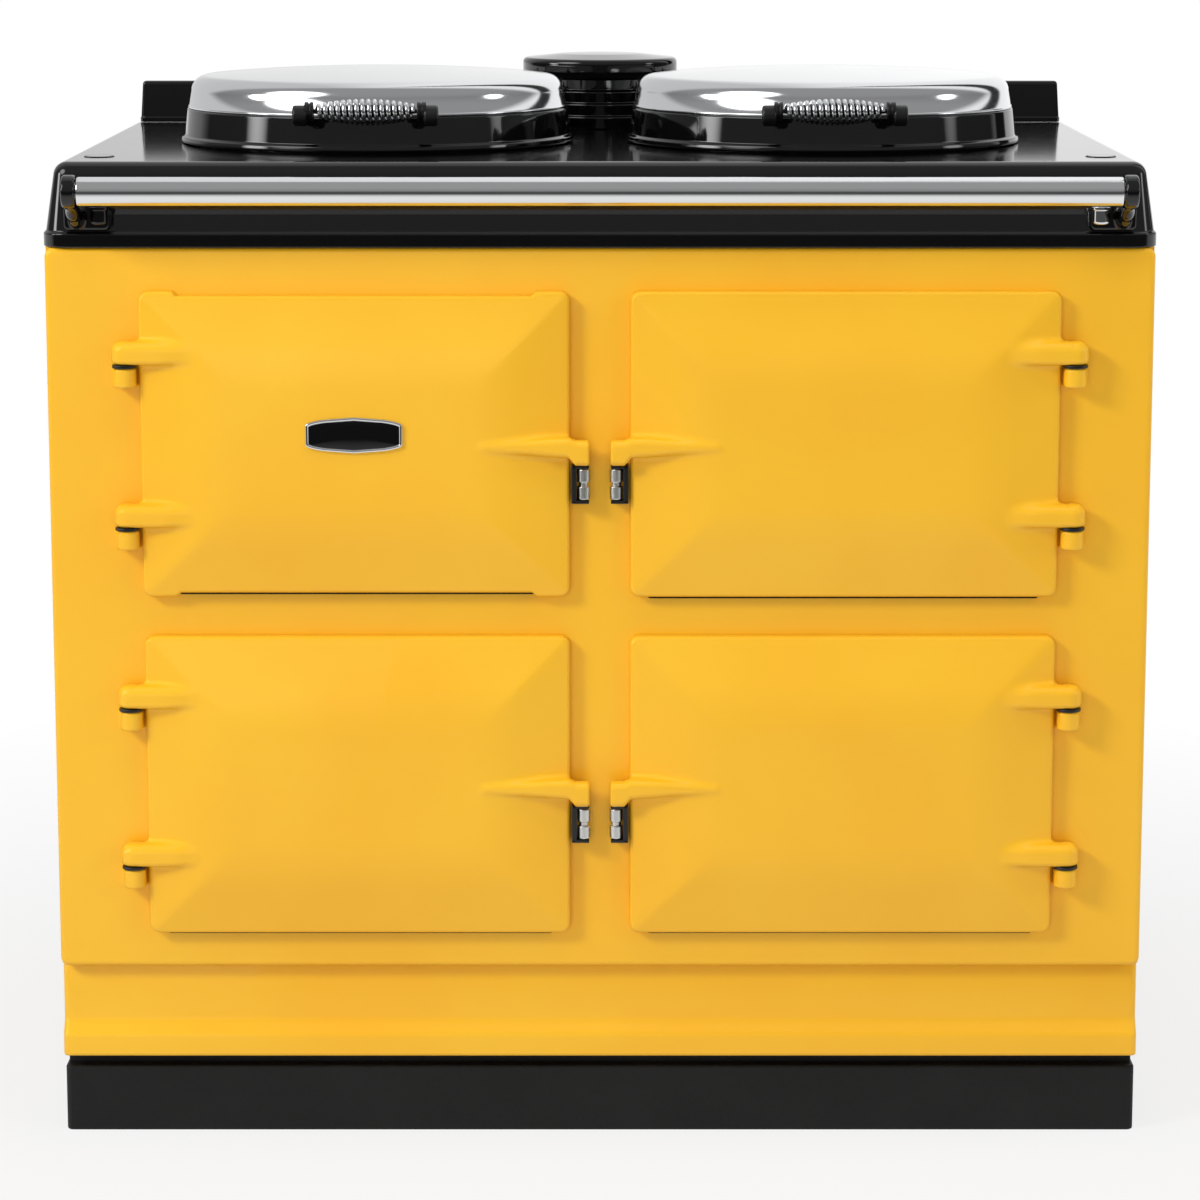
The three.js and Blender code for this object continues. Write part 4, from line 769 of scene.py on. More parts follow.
@dataclass
class ScrewRow:
    """Dome-headed screws round a rectangle in the XZ plane, facing +Y, repeated by a node tree."""

    name: str
    finish: Finish
    head_radius: float = 4.5
    head_rise: float = 2.4
    spacing: float = 150.0

    def build(self, width: float, height: float, place: Point, body: str) -> None:
        """Builds the screws as one piece.

        Args:
            width: Width of the rectangle.
            height: Height of the rectangle.
            place: Middle of the rectangle, on the surface that the screws sit on.
            body: The CAD body that they ride.
        """
        radius, rise, sunk = self.head_radius, self.head_rise, -0.3
        head = turned([(0, rise, 0), (radius * 0.6, rise * 0.9, 1), (radius, 0, 0.6), (radius * 0.9, sunk, 0),
                       (0, sunk, 0)], 3, 20, 0)
        head.points = head.points[:, [0, 2, 1]]
        screw = in_scene(f"{self.name}_head", mesh_of(f"{self.name}_head", head, 40))
        grower = Grower(self.name, {"Width": width * MM, "Height": height * MM, "Spacing": self.spacing * MM})
        given = grower.given
        sizes = {label: given[label] for label in ("Width", "Height")}
        outline = grower.add("CurvePrimitiveQuadrilateral", sizes)
        stood = grower.add("Transform", {"Rotation": (math.pi / 2, 0, 0), "Geometry": outline})
        points = grower.add("CurveToPoints", {"mode": "LENGTH", "Curve": stood, "Length": given["Spacing"]})
        source = grower.add("ObjectInfo", {"Object": screw}).outputs["Geometry"]
        copies = grower.add("InstanceOnPoints", {"Points": points, "Instance": source})
        mesh = grower.mesh(copies, self.finish, place)
        bpy.data.objects.remove(screw)
        piece(self.name, mesh, self.finish, body=body)


# ---- Cabinet ----


@dataclass
class Cabinet:
    """The base, the kick panel, the front plate with its hinge lugs, and the sides and back."""

    base_height: float = 62.0
    base_wall: float = 8.0
    base_setback: float = 16.0
    neck_setback: float = 28.0
    plate_thickness: float = 12.0
    plate_corner: float = 8.0
    plate_round: float = 5.0
    lug_radius: float = 10.0
    lug_height: float = 17.0
    # Half width, half height and corner radius of each oven's mouth.
    mouth: Point = (170.0, 112.5, 12.0)
    toe_setback: float = 4.6
    toe_height: float = 18.0
    face_setback: float = 14.0
    flare_height: float = 17.0
    kick_thickness: float = 12.0
    kick_corner: float = 6.0
    screw_inset: float = 15.0

    def build(self) -> None:
        """Builds and dresses every piece of the cabinet."""
        self.base()
        self.kick_panel()
        self.front_plate()
        dress(YELLOW, "side_panel_left", "side_panel_right")
        dress(BASE_BLACK, "back_panel")
        low, high, inset = LAYOUT.kick_bottom, LAYOUT.plate_top, self.screw_inset
        middle = (0.0, LAYOUT.rear_y - 0.1, (high + low) / 2)
        screws = ScrewRow("back_screws", STOVE_BLACK)
        screws.build(2 * (LAYOUT.half_width - inset), high - low - 2 * inset, middle, "cabinet")

    def base(self) -> None:
        """The black base, open underneath, and the neck above it."""
        wall, height = self.base_wall, self.base_height
        inner = -wall - 30
        profile = eased([(-wall, 0, 0), (0, 0, 2), (0, height, 2.5), (inner, height, 0)], 5)
        profile += [(inner, height - wall), (-wall, height - wall)]
        half_y = LAYOUT.half_depth - self.base_setback
        shell = swept(profile, LAYOUT.half_width, half_y, 6, 5, least=0.5, loop=True).moved(y=LAYOUT.middle_y)
        low, high = height - 12, LAYOUT.kick_bottom - 0.3
        depth = 2 * (LAYOUT.half_depth - self.neck_setback)
        neck = soft_box((2 * LAYOUT.half_width - 4, depth, high - low), 2)
        neck = neck.moved(y=LAYOUT.middle_y, z=(high + low) / 2)
        piece("base", shell.plus(neck), BASE_BLACK, "base_plinth")

    def kick_panel(self) -> None:
        """The kick panel: a flat face that sweeps forward to a toe, with its two ends rounded."""
        bottom, top, toe, face = LAYOUT.kick_bottom, LAYOUT.kick_top, self.toe_setback, self.face_setback
        toe_top = bottom + self.toe_height
        line: Profile = [(toe + 5.5, bottom)]
        line += eased([(toe + 6, bottom, 0), (toe, bottom, 4.2), (toe, toe_top, 0)], 6, support=0.5)[1:]
        steps = 16
        for step in range(1, steps + 1):
            share = step / steps
            ease = share * share * (3 - 2 * share)
            line.append((toe + (face - toe) * ease, toe_top + self.flare_height * share))
        line += [(face, toe_top + 24), (face, top - 1), (face + 0.6, top)]
        back = LAYOUT.front_y + face + self.kick_thickness
        flat = LAYOUT.half_width - self.kick_corner
        ends = [flat + self.kick_corner * math.sin(step / 8 * math.pi / 2) for step in range(9)]
        rings = []
        for x in [*(-x for x in reversed(ends)), *ends]:
            past = max(abs(x) - flat, 0)
            inset = self.kick_corner - math.sqrt(max(self.kick_corner**2 - past**2, 0))
            front = [(x, LAYOUT.front_y + y + inset, z) for y, z in line]
            rings.append([*front, (x, back, top), (x, back, bottom)])
        foot = soft_box((2 * (LAYOUT.half_width - 7), 21, 10), 1).moved(y=back + 9.5, z=bottom + 5)
        piece("kick", loft(rings).plus(foot), YELLOW, "kick_panel")

    def plate_form(self, x: Array, y: Array, z: Array) -> Array:
        """Distance from the surface of the front plate and its lugs."""
        proud = LAYOUT.front_y - y
        middle = (LAYOUT.plate_top + LAYOUT.plate_bottom) / 2
        half_z = (LAYOUT.plate_top - LAYOUT.plate_bottom) / 2
        edge = round_both(np.abs(x) - LAYOUT.half_width, np.abs(z - middle) - half_z, self.plate_corner)
        plate = np.maximum(round_both(proud, edge, self.plate_round), -self.plate_thickness - proud)
        wide, high, corner = self.mouth
        for row in LAYOUT.door_rows:
            hole = round_both(np.abs(np.abs(x) - LAYOUT.door_x) - wide, np.abs(z - row) - high, corner)
            plate = np.maximum(plate, -hole)
        across = np.abs(x) - LAYOUT.door_x - LAYOUT.hinge_x
        plan = np.hypot(across, np.maximum(proud - LAYOUT.hinge_forward, 0)) - self.lug_radius
        plan = np.maximum(plan, -6 - proud)
        for top in LAYOUT.lug_tops(*LAYOUT.door_rows):
            plate = flow(plate, round_both(plan, within(z, top - self.lug_height, top), 2.0), 4.0)
        return plate

    def front_plate(self) -> None:
        """The front plate, with eight lugs that flow out of it."""
        half, low, high, front = LAYOUT.half_width, LAYOUT.plate_bottom, LAYOUT.plate_top, LAYOUT.front_y
        lug_x = LAYOUT.door_x + LAYOUT.hinge_x
        wide, tall, _ = self.mouth
        mouths = [LAYOUT.door_x - wide, LAYOUT.door_x + wide]
        sills = [row + sign * tall for row in LAYOUT.door_rows for sign in (-1, 1)]
        spans_x = [(-half - 1, -half + 7), (half - 7, half + 1)]
        spans_x += [(sign * lug_x - 14, sign * lug_x + 14) for sign in (-1, 1)]
        spans_x += [(sign * x - 1, sign * x + 1) for sign in (-1, 1) for x in mouths]
        spans_z = [(low - 1, low + 7), (high - 7, high + 1)]
        spans_z += [(z - 1, z + 1) for z in sills]
        spans_z += [(z - 20, z + 3) for z in LAYOUT.lug_tops(*LAYOUT.door_rows)]
        xs = graded(-half - 2.1, half + 2, 12, 1.3, spans_x)
        ys = graded(front - 26.5, front + 14, 2.4, 1.1, [(front - 25, front + 5)])
        zs = graded(low - 2.1, high + 2, 12, 1.3, spans_z)
        piece("front_casting", cast(self.plate_form, xs, ys, zs), YELLOW, "front_plate", sharp=60)


# ---- Doors ----


@dataclass
class Door:
    """A cast door with its hinge arms and grip, its liner, collars, catch and roller."""

    place: DoorPlace
    back_gap: float = 1.0
    rim_proud: float = 12.0
    rim_round: float = 3.0
    corner: float = 9.0
    bevel_width: float = 65.0
    bevel_rise: float = 15.0
    knee: float = 5.0
    notch_half: float = 161.5
    notch_depth: float = 4.0
    arm_reach: float = 56.0
    arm_radius: float = 11.5
    arm_taper: float = 26.0
    pocket_inset: float = 12.0
    pocket_depth: float = 7.5
    liner_half: tuple[float, float] = (170.0, 107.5)
    catch_x: float = 14.5
    catch_proud: float = 11.0
    catch_drop: float = 52.0

    @property
    def body(self) -> str:
        """The CAD body that swings with the door."""
        return f"door_{self.place.name}_body"

    def panel_form(self, x: Array, proud: Array, z: Array) -> Array:
        """Distance from the surface of the door's panel, for a right-hand door round its own middle."""
        half_x, half_z = LAYOUT.door_half_width, LAYOUT.door_half_height
        inwards = flow(half_x - np.abs(x), half_z - np.abs(z), 5.0)
        slope = self.bevel_rise / self.bevel_width
        rise = flow(inwards * slope, np.full_like(inwards, self.bevel_rise), self.knee)
        top = (proud - self.rim_proud - rise) / math.hypot(1, slope)
        pocket = np.maximum(np.abs(x) - half_x, np.abs(z) - half_z) + self.pocket_inset
        if self.place.notched:
            depth = self.notch_depth
            half_z = half_z - depth * np.clip((self.notch_half - np.abs(x)) / depth, 0, 1)
        edge = round_both(np.abs(x) - half_x, np.abs(z) - half_z, self.corner)
        body = np.maximum(round_both(top, edge, self.rim_round), self.back_gap - proud)
        return np.maximum(body, -np.maximum(pocket, proud - self.pocket_depth))

    def arm_form(self, x: Array, proud: Array, z: Array) -> Array:
        """Distance from one hinge arm, with Z 0 at its middle. Towards its tip it sinks into the bevel."""
        tip = LAYOUT.hinge_x - self.arm_reach
        share = np.clip((tip + self.arm_taper - x) / self.arm_taper, 0, 1.3)
        front = LAYOUT.hinge_forward + self.arm_radius - 4.5 * share**2
        back = np.where(x < LAYOUT.door_half_width - 3, 8.0, LAYOUT.hinge_forward - self.arm_radius + 1.5)
        bar = np.maximum(within(x, tip, LAYOUT.hinge_x), within(proud, back, front))
        eye = np.hypot(x - LAYOUT.hinge_x, proud - LAYOUT.hinge_forward) - self.arm_radius
        upper, lower = 8.5, 4.5
        return round_both(np.minimum(bar, eye), np.abs(z) - LAYOUT.arm_half_height + 1.2 * share,
                          np.where(z > 0, upper, lower))

    def grip_form(self, x: Array, proud: Array, z: Array) -> Array:
        """Distance from the grip: a ridge that swells out of the bevel to a block past the door's edge."""
        stations = [-208.95, -196.5, -190.5, -165.0, -139.0, -117.0]
        half_height, half_depth, forward, drop = (np.interp(x, stations, sizes) for sizes in (
            [11.25, 11.25, 9.2, 7.6, 4.6, 1.4], [8, 8, 8, 7.4, 5.6, 2], [21, 21, 21, 21.6, 22.4, 24],
            [5.25, 5.25, 0.6, 0, 0, 0],
        ))
        radius = np.minimum(half_height, half_depth) * 0.72
        section = round_both(np.abs(proud - forward) - half_depth, np.abs(z + drop) - half_height, radius)
        return round_both(section, within(x, stations[0], stations[-1] + 4), 2.5)

    def form(self, x: Array, y: Array, z: Array) -> Array:
        """Distance from the whole casting, in the cooker's frame."""
        local_x = x * self.place.side.value - LAYOUT.door_x
        proud, local_z = LAYOUT.front_y - y, z - self.place.z
        made = self.panel_form(local_x, proud, local_z)
        for offset in LAYOUT.arm_offsets:
            made = flow(made, self.arm_form(local_x, proud, local_z - offset), 6.0)
        return flow(made, self.grip_form(local_x, proud, local_z), 7.0)

    def build(self) -> None:
        """Builds and dresses every piece of the door, its catch and its pins."""
        half_x, half_z, front = LAYOUT.door_half_width, LAYOUT.door_half_height, LAYOUT.front_y
        spans_x = [(-half_x - 18, -half_x + 76), (LAYOUT.hinge_x - 58, half_x + 26)]
        spans_z = [(-half_z - 1, -half_z + 8), (half_z - 8, half_z + 1), (-19, 14)]
        spans_z += [(offset - 15, offset + 15) for offset in LAYOUT.arm_offsets]
        local = graded(-211.1, 217.5, 4.5, 1.25, spans_x)
        xs = np.sort((local + LAYOUT.door_x) * self.place.side.value)
        ys = graded(front - 31.0, front + 0.6, 1.4)
        zs = graded(-half_z - 2.1, half_z + 2, 4.5, 1.2, spans_z) + self.place.z
        name = self.place.name
        piece(f"casting_{name}", cast(self.form, xs, ys, zs), YELLOW, f"door_{name}", self.body, sharp=60)
        self.liner()
        self.seal()
        self.pins()
        self.catch()

    def liner(self) -> None:
        """The pressed liner behind the door, with a raised panel and four screws."""
        name, (wide, tall) = self.place.name, self.liner_half
        x, y, z = LAYOUT.door_x * self.place.side.value, LAYOUT.front_y, self.place.z
        flange = [(16.2, -6.3, 0), (21.2, -6.3, 0), (21.2, -1.2, 0.8), (-5.2, -1.2, 3), (-5.2, 8, 3)]
        rings = []
        for out, depth in eased([*flange, (-22, 8, 2), (-26, 5, 2), (-60, 5, 0)], 4):
            half_x, half_z = wide + out, tall + out
            if out > 0:
                half_x, half_z = wide - 5 + out * 0.65, tall + out * 0.8
            ring = rounded_rectangle(half_x, half_z, max(8 + out * 0.4, 2), 5)
            rings.append([(x + a, y + depth, z + b) for a, b in ring])
        piece(f"liner_{name}", loft(rings), LINER, f"door_liner_{name}", self.body)
        screws = ScrewRow(f"liner_screws_{name}", STEEL, 3.5, 1.6, 1000.0)
        screws.build(2 * (wide - 15), 2 * (tall - 10.5), (x, y + 7.6, z), self.body)

    def seal(self) -> None:
        """A dark rope behind the door's rim. Its lower edge shows under the door as a thin dark line: painted shade,
        for the shade in the gap below the door.
        """
        half, drop = LAYOUT.door_half_width - 16, LAYOUT.door_half_height + self.place.seal_shows
        if self.place.notched:
            half, drop = self.notch_half - 2, drop - self.notch_depth
        # Painted shade: the lower rope's edge shows under the door as the dark line of its shade; the other ropes sit
        # behind the rim.
        rope = soft_box((2 * half, 5.0, 6.0), 2.2, 3).moved(z=-drop + 3.0)
        side_rope = soft_box((5.0, 5.0, 2 * drop - 16), 2.2, 3).moved(x=half - 1.5, z=2)
        whole = rope.plus(rope.moved(z=2 * drop - 14), side_rope, side_rope.mirrored())
        whole = whole.moved(LAYOUT.door_x * self.place.side.value, LAYOUT.front_y - 4.2, self.place.z)
        piece(f"seal_{self.place.name}", whole, SHADE_ROPE, body=self.body)

    def pins(self) -> None:
        """The two hinge pins, each with a collar that shows between lug and arm."""
        x = (LAYOUT.door_x + LAYOUT.hinge_x) * self.place.side.value
        pin = turned([
            (0, -13, 0), (5, -13, 0.5), (5, 0.3, 0), (11.2, 0.3, 0.8), (11.2, 3.3, 0.8), (5, 3.3, 0),
            (5, 17.6, 0.5), (0, 17.6, 0),
        ], 3, 40, 0.3)
        for word, top in zip(("upper", "lower"), LAYOUT.lug_tops(self.place.z)):
            shape = pin.moved(x, LAYOUT.front_y - LAYOUT.hinge_forward, top)
            name = f"{self.place.name}_{word}"
            piece(f"pin_{name}", shape, STOVE_BLACK, f"hinge_pin_{name}")

    def catch(self) -> None:
        """The catch on the front plate: a black bracket round a steel roller on its own pin."""
        name, side = self.place.name, self.place.side
        foot, y = self.place.z - self.catch_drop, LAYOUT.front_y - self.catch_proud
        rear, front = LAYOUT.front_y - 0.3, LAYOUT.front_y - 17.0
        middle_y, depth = (rear + front) / 2, rear - front
        height = 34.5
        spine = soft_box((4.6, depth, height), 1.3).moved(23.2, middle_y, foot + height / 2)
        low = soft_box((15.8, depth, 3.0), 1.0).moved(17.6, middle_y, foot + 1.5)
        pin = rod(2, 0.5, 34, 0.3, 2, 24, 0).moved(self.catch_x, y, foot)
        head = turned([(0, 34.3, 0), (3.4, 34.3, 0), (3.4, 35.6, 0.8), (0, 35.9, 0)], 3, 24, 0.2)
        bracket = spine.plus(low, low.moved(z=height - 3.0), pin, head.moved(self.catch_x, y, foot))
        piece(f"catch_{name}", bracket.sided(side), STOVE_BLACK, f"catch_bracket_{name}")
        roller = turned([
            (2.4, 0, 0.2), (5.9, 0, 1.2), (5.9, 11.7, 0.7), (4.2, 12.5, 0.3), (4.2, 15.4, 0.3),
            (5.9, 16.2, 0.7), (5.9, 27.9, 1.2), (2.4, 27.9, 0.2),
        ], 3, 40, 0.3, loop=True).moved(self.catch_x * side.value, y, foot + 3.3)
        piece(f"roller_{name}", roller, STEEL, f"catch_roller_{name}", f"roller_{name}_body")


@dataclass
class Badge:
    """The plate on the upper left door: a bright rim round a plain black face."""

    half_width: float = 43.25
    half_height: float = 16.3
    end_half: float = 11.0
    rise: float = 11.5
    proud: float = 27.3
    rim: float = 2.9
    squareness: float = 0.16

    def outline(self) -> Profile:
        """The badge's outline: flat ends, with a top and a bottom edge that bow outwards."""
        bow = self.half_height - self.end_half
        points, count = [], 120
        for step in range(count):
            angle = step / count * 2 * math.pi
            across = math.copysign(abs(math.cos(angle)) ** self.squareness, math.cos(angle))
            upward = math.copysign(abs(math.sin(angle)) ** self.squareness, math.sin(angle))
            points.append((self.half_width * across, (self.end_half + bow * (1 - across**2)) * upward))
        return points

    def build(self) -> None:
        """Builds the rim and the face."""
        body = "door_top_left_body"
        place = (-LAYOUT.door_x, LAYOUT.front_y - self.proud, LAYOUT.door_rows[1] + self.rise)
        section = [(0, 0), (0, 1.7), (0.3, 2.4), (0.9, 2.9), (1.7, 3.0), (2.4, 2.8), (2.9, 2.2), (4, 2.0)]
        rim = prism(self.outline(), section)
        piece("badge_rim", rim.facing_front().moved(*place), CHROME, "badge", body)
        inner = np.array(self.outline()) * [1 - self.rim / self.half_width, 1 - self.rim / self.half_height]
        rings = [[(x, y, 1.9) for x, y in inner]]
        for step in range(13):
            share = 1 - step / 12.5
            rings.append([(x * share, y * share, 2.15 + 0.75 * (1 - share**2)) for x, y in inner])
        piece("badge_face", loft(rings).facing_front().moved(*place), BLACK, body=body)


# ---- Hob ----


@dataclass
class Hob:
    """The enamelled top with its skirt and lip, hotplates, upstand, flue outlet and small plugs."""

    lip_proud: float = 2.5
    lip_height: float = 13.0
    taper: float = 9.0
    edge_round: float = 12.5
    corner: float = 22.0
    thickness: float = 8.0
    hole_radius: float = 171.0
    plug_radius: float = 13.8
    plug_place: tuple[float, float] = (453.0, -198.0)
    upstand_half: tuple[float, float] = (475.2, 9.2)
    upstand_y: float = 320.0
    upstand_height: float = 42.0
    flue_y: float = 245.0
    band_height: float = 12.6

    def build(self) -> None:
        """Builds and dresses every piece of the hob."""
        self.top_plate()
        self.upstand()
        self.flue()
        for side in Side:
            self.hotplate(side)
        self.plugs()

    def top_plate(self) -> None:
        """The top plate: one rounded skin with a hole for each hotplate."""
        low, top, lip = LAYOUT.hob_bottom, LAYOUT.hob_top, self.lip_proud
        lip_top = low + self.lip_height
        inside = [(-60, top - self.thickness), (-self.taper - 7, top - self.thickness), (-7, low)]
        outside = eased([
            (-5, low, 0), (lip, low, 1.2), (lip, lip_top - 1, 2.2), (0.2, lip_top + 1.2, 2.0),
            (-self.taper, top, self.edge_round), (-60, top, 0),
        ], 9, support=0.8)
        shell = swept([*inside, *outside], LAYOUT.half_width, LAYOUT.half_depth, self.corner, 12, least=1.0)
        hole = rod(self.hole_radius, low + 20, top + 5, 0, 1, 128)
        holes = [hole.moved(*LAYOUT.lid_middle(side)) for side in Side]
        piece("hob", cut_out("hob", shell.moved(y=LAYOUT.middle_y), holes, 30), HOB_BLACK, "top_plate")

    def upstand(self) -> None:
        """The upstand along the back, with a shallow step near its foot."""
        bottom = LAYOUT.hob_top + 0.3
        top = bottom + self.upstand_height
        profile = eased([
            (-4, bottom, 0), (0.8, bottom, 0.8), (0.8, bottom + 4.2, 0.8), (0, bottom + 5.2, 0.8),
            (-2.4, top, 5), (-9, top, 0),
        ], 6, support=0.5)
        shape = swept(profile, *self.upstand_half, 5.5, 6).moved(y=self.upstand_y)
        piece("upstand_casting", shape, BLACK, "upstand")

    def flue(self) -> None:
        """The flue outlet: a banded body under a wide cap with a shallow dome."""
        foot, band = LAYOUT.hob_top + 0.3, self.band_height
        line: list[Corner] = [(0, foot, 0)]
        for count in range(4):
            radius = 60 - 3.5 * count
            line += [(radius, foot + band * count, 1.2), (radius, foot + band * (count + 1), 2.2)]
        line.append((0, foot + band * 4, 0))
        piece("flue_bands", turned(line, 4, 96, 0.4).moved(y=self.flue_y), BLACK, "flue_body")
        bottom, top = (corner.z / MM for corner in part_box("flue_cap"))
        edge = eased([(0, bottom, 0), (74, bottom, 4), (78, bottom + 6, 6), (78, top - 7.5, 9)], 8)[:-1]
        edge += eased([(78, top - 14, 0), (78, top - 5.2, 8), (40, top - 1.2, 60), (0, top, 0)], 10)
        piece("flue_lid", lathe(edge, 128).moved(y=self.flue_y), BLACK, "flue_cap")

    def hotplate(self, side: Side) -> None:
        """A machined iron disc that stands a little proud of the hob."""
        top = LAYOUT.hob_top + 3
        shape = turned([
            (0, top - 30, 0), (170, top - 30, 1), (170, top - 17.3, 0), (178, top - 17.3, 1),
            (178, top - 11.3, 1), (170, top - 11.3, 0), (170, top, 1.6), (0, top, 0),
        ], 4, 128).moved(*LAYOUT.lid_middle(side))
        iron = spun(side, "machined_iron", "cast_iron", "#6A6866", 0.42, 1.6, 0.02)
        piece(f"hotplate_disc_{side.word}", shape, iron, f"hotplate_{side.word}")

    def plugs(self) -> None:
        """A small round plug near each front corner of the hob."""
        radius, (x, y) = self.plug_radius, self.plug_place
        shape = turned([
            (0, -0.4, 0), (radius, -0.4, 0), (radius, 0.7, 0.4), (radius - 0.7, 0.7, 0.2),
            (radius - 1.0, 0.1, 0.2), (radius - 1.6, 0.1, 0.2), (radius - 1.9, 0.7, 0.2), (0, 0.9, 0),
        ], 4, 56, 0.2).moved(0, y, LAYOUT.hob_top)
        piece("hob_plugs", shape.moved(-x).plus(shape.moved(x)), HOB_BLACK)


# ---- Lids ----


@dataclass
class Lid:
    """A hotplate's lid: a black ring, a polished dome, a lining, its coil handle and its hinge."""

    side: Side
    ring_radius: float = 187.5
    ring_top_radius: float = 181.5
    ring_height: float = 33.0
    dome_radius: float = 180.0
    dome_gap: float = 0.3
    dome_thickness: float = 2.5
    lean: float = 4.4
    shoulder: float = 17.0
    wall_height: float = 29.2
    crown_rise: float = 8.5
    hinge_y: float = 217.0
    hinge_height: float = 25.0
    handle_forward: float = 200.0
    handle_height: float = 40.0
    ferrule_radius: float = 8.5
    coil_length: float = 88.0
    coil_turns: float = 15.5
    coil_wire: float = 4.4
    coil_middle: float = 9.3
    coil_end: float = 4.8

    @property
    def middle(self) -> Point:
        """The point of the hob's face under the lid's middle."""
        return (*LAYOUT.lid_middle(self.side), LAYOUT.hob_top)

    def build(self) -> None:
        """Builds and dresses every piece of the lid."""
        word, body, place = self.side.word, f"lid_{self.side.word}_body", self.middle
        polished = spun(self.side, "spun_dome", "chrome", "#D9DADC", 0.11, 1.2, 0.0012)
        lining = spun(self.side, "spun_lining", "liner_steel", "#B4B5B4", 0.3, 1.4, 0.004)
        piece(f"ring_{word}", self.ring().moved(*place), BLACK, f"lid_ring_{word}", body)
        piece(f"dome_{word}", self.dome().moved(*place), polished, f"lid_dome_{word}", body, 50)
        piece(f"lining_{word}", self.lining().moved(*place), lining, body=body)
        piece(f"handle_{word}", self.handle().moved(*place), STOVE_BLACK, f"lid_handle_frame_{word}", body)
        piece(f"coil_{word}", self.coil(), CHROME, f"lid_handle_coil_{word}", body)
        piece(f"lid_hinge_casting_{word}", self.hinge().moved(*place), STOVE_BLACK, f"lid_hinge_{word}")

    def ring(self) -> Skin:
        """The ring round the lid's foot, with a bead at its base and the hinge knuckle behind."""
        out, top = self.ring_radius, self.ring_height
        ring = turned([
            (174, 7, 0.5), (174, 1, 0.8), (out - 1, 1, 1.6), (out, 3.2, 1.8), (out - 0.6, 6.4, 1.6),
            (out - 3.4, 8.2, 1.2), (self.ring_top_radius, top, 1.6), (171.5, top, 0.8), (171.5, 13, 1),
            (172, 9, 0.5),
        ], 5, 160, 0.5, loop=True)
        tongue = soft_box((50, 42, 18), 2.5).moved(y=198, z=23)
        knuckle = rod(11, -25, 25, 1.5, 4, 48).across().moved(y=self.hinge_y, z=self.hinge_height)
        return ring.plus(tongue, knuckle)

    def dome_line(self, inset: float) -> Profile:
        """The dome's line, drawn in by a wall: a leaning side, a shoulder and a crown, to its middle."""
        foot = self.ring_height + self.dome_gap

        def height(radius: float) -> float:
            """The crown's height above the dome's foot at a distance from the middle."""
            return self.wall_height + self.crown_rise - self.crown_rise * (radius / self.dome_radius) ** 2

        edge = self.dome_radius - self.lean
        corners = [(self.dome_radius, 0, 0), (edge, height(edge), self.shoulder), (150, height(150), 0)]
        line = eased(corners, 14, support=0) + [(radius, height(radius)) for radius in range(144, -1, -6)]
        return [(max(r - (inset if r > 1 else 0), 0.0), foot + h - (inset if h > 0 else 0)) for r, h in line]

    def dome(self) -> Skin:
        """The polished dome, a thin shell that is open underneath, with a rolled foot."""
        foot = self.ring_height + self.dome_gap
        inner = reversed(self.dome_line(self.dome_thickness))
        inside = [(r, z) for r, z in inner if z > foot + 2 and r < 176.5]
        rolled = [(177.0, foot), (180.2, foot), (180.6, foot + 0.7), (180.6, foot + 1.8), (180.2, foot + 2.5)]
        lower = (self.dome_radius - self.lean * 0.1, foot + 2.9)
        outside = [(r, z) for r, z in self.dome_line(0.0) if z > foot + 2.8]
        return lathe([*inside, *rolled, lower, *outside], 160)

    def lining(self) -> Skin:
        """The lid's bright underside: a disc with pressed rings."""
        return turned([
            (0, 12.8, 0), (173.6, 12.8, 0), (173.6, 7.2, 1), (160, 7.2, 1), (156, 9.4, 2), (118, 9.4, 2),
            (114, 7.6, 2), (40, 7.6, 2), (36, 8.6, 2), (0, 8.6, 0),
        ], 4, 128)

    def handle(self) -> Skin:
        """Two posts that reach forward from the ring, with grooved ferrules and a core for the coil."""
        out, forward = self.ferrule_radius, self.handle_forward
        inner = self.coil_length / 2 + self.coil_wire / 2 + 0.8
        groove = [(4.6, 0, 0.6), (4.2, 1.2, 0.4), (3.2, 1.2, 0.4), (2.8, 0, 0.6), (0, 0, 1.0)]
        ferrule = [(out - deep, -inner - back, edge) for back, deep, edge in groove]
        line: list[Corner] = [(0, -inner - 8, 0), (out, -inner - 8, 0), *ferrule]
        for step in range(17):
            share = step / 8 - 1
            radius = self.coil_end + (self.coil_middle - self.coil_end) * (1 - share**2)
            radius = radius * math.cos(math.pi / 8) - self.coil_wire / 2 - 0.4
            place = math.copysign(inner - 0.1, share) if step in (0, 16) else share * self.coil_length / 2
            line.append((radius, place, 0))
        line += [(r, -p, e) for r, p, e in reversed(ferrule)] + [(out, inner + 8, 0), (0, inner + 8, 0)]
        core = turned(line, 4, 40, 0.2).across().moved(y=-forward, z=self.handle_height)
        posts = []
        for side in (-1, 1):
            x = side * (inner + 12.5)
            posts.append(soft_box((11, 44, 13), 3.5, 5).moved(x, 17.5 - forward, 33.5))
            posts.append(rod(9.6, -6.5, 6.5, 2.5, 5, 48).across().moved(x, -forward, self.handle_height - 4))
        return core.plus(*posts)

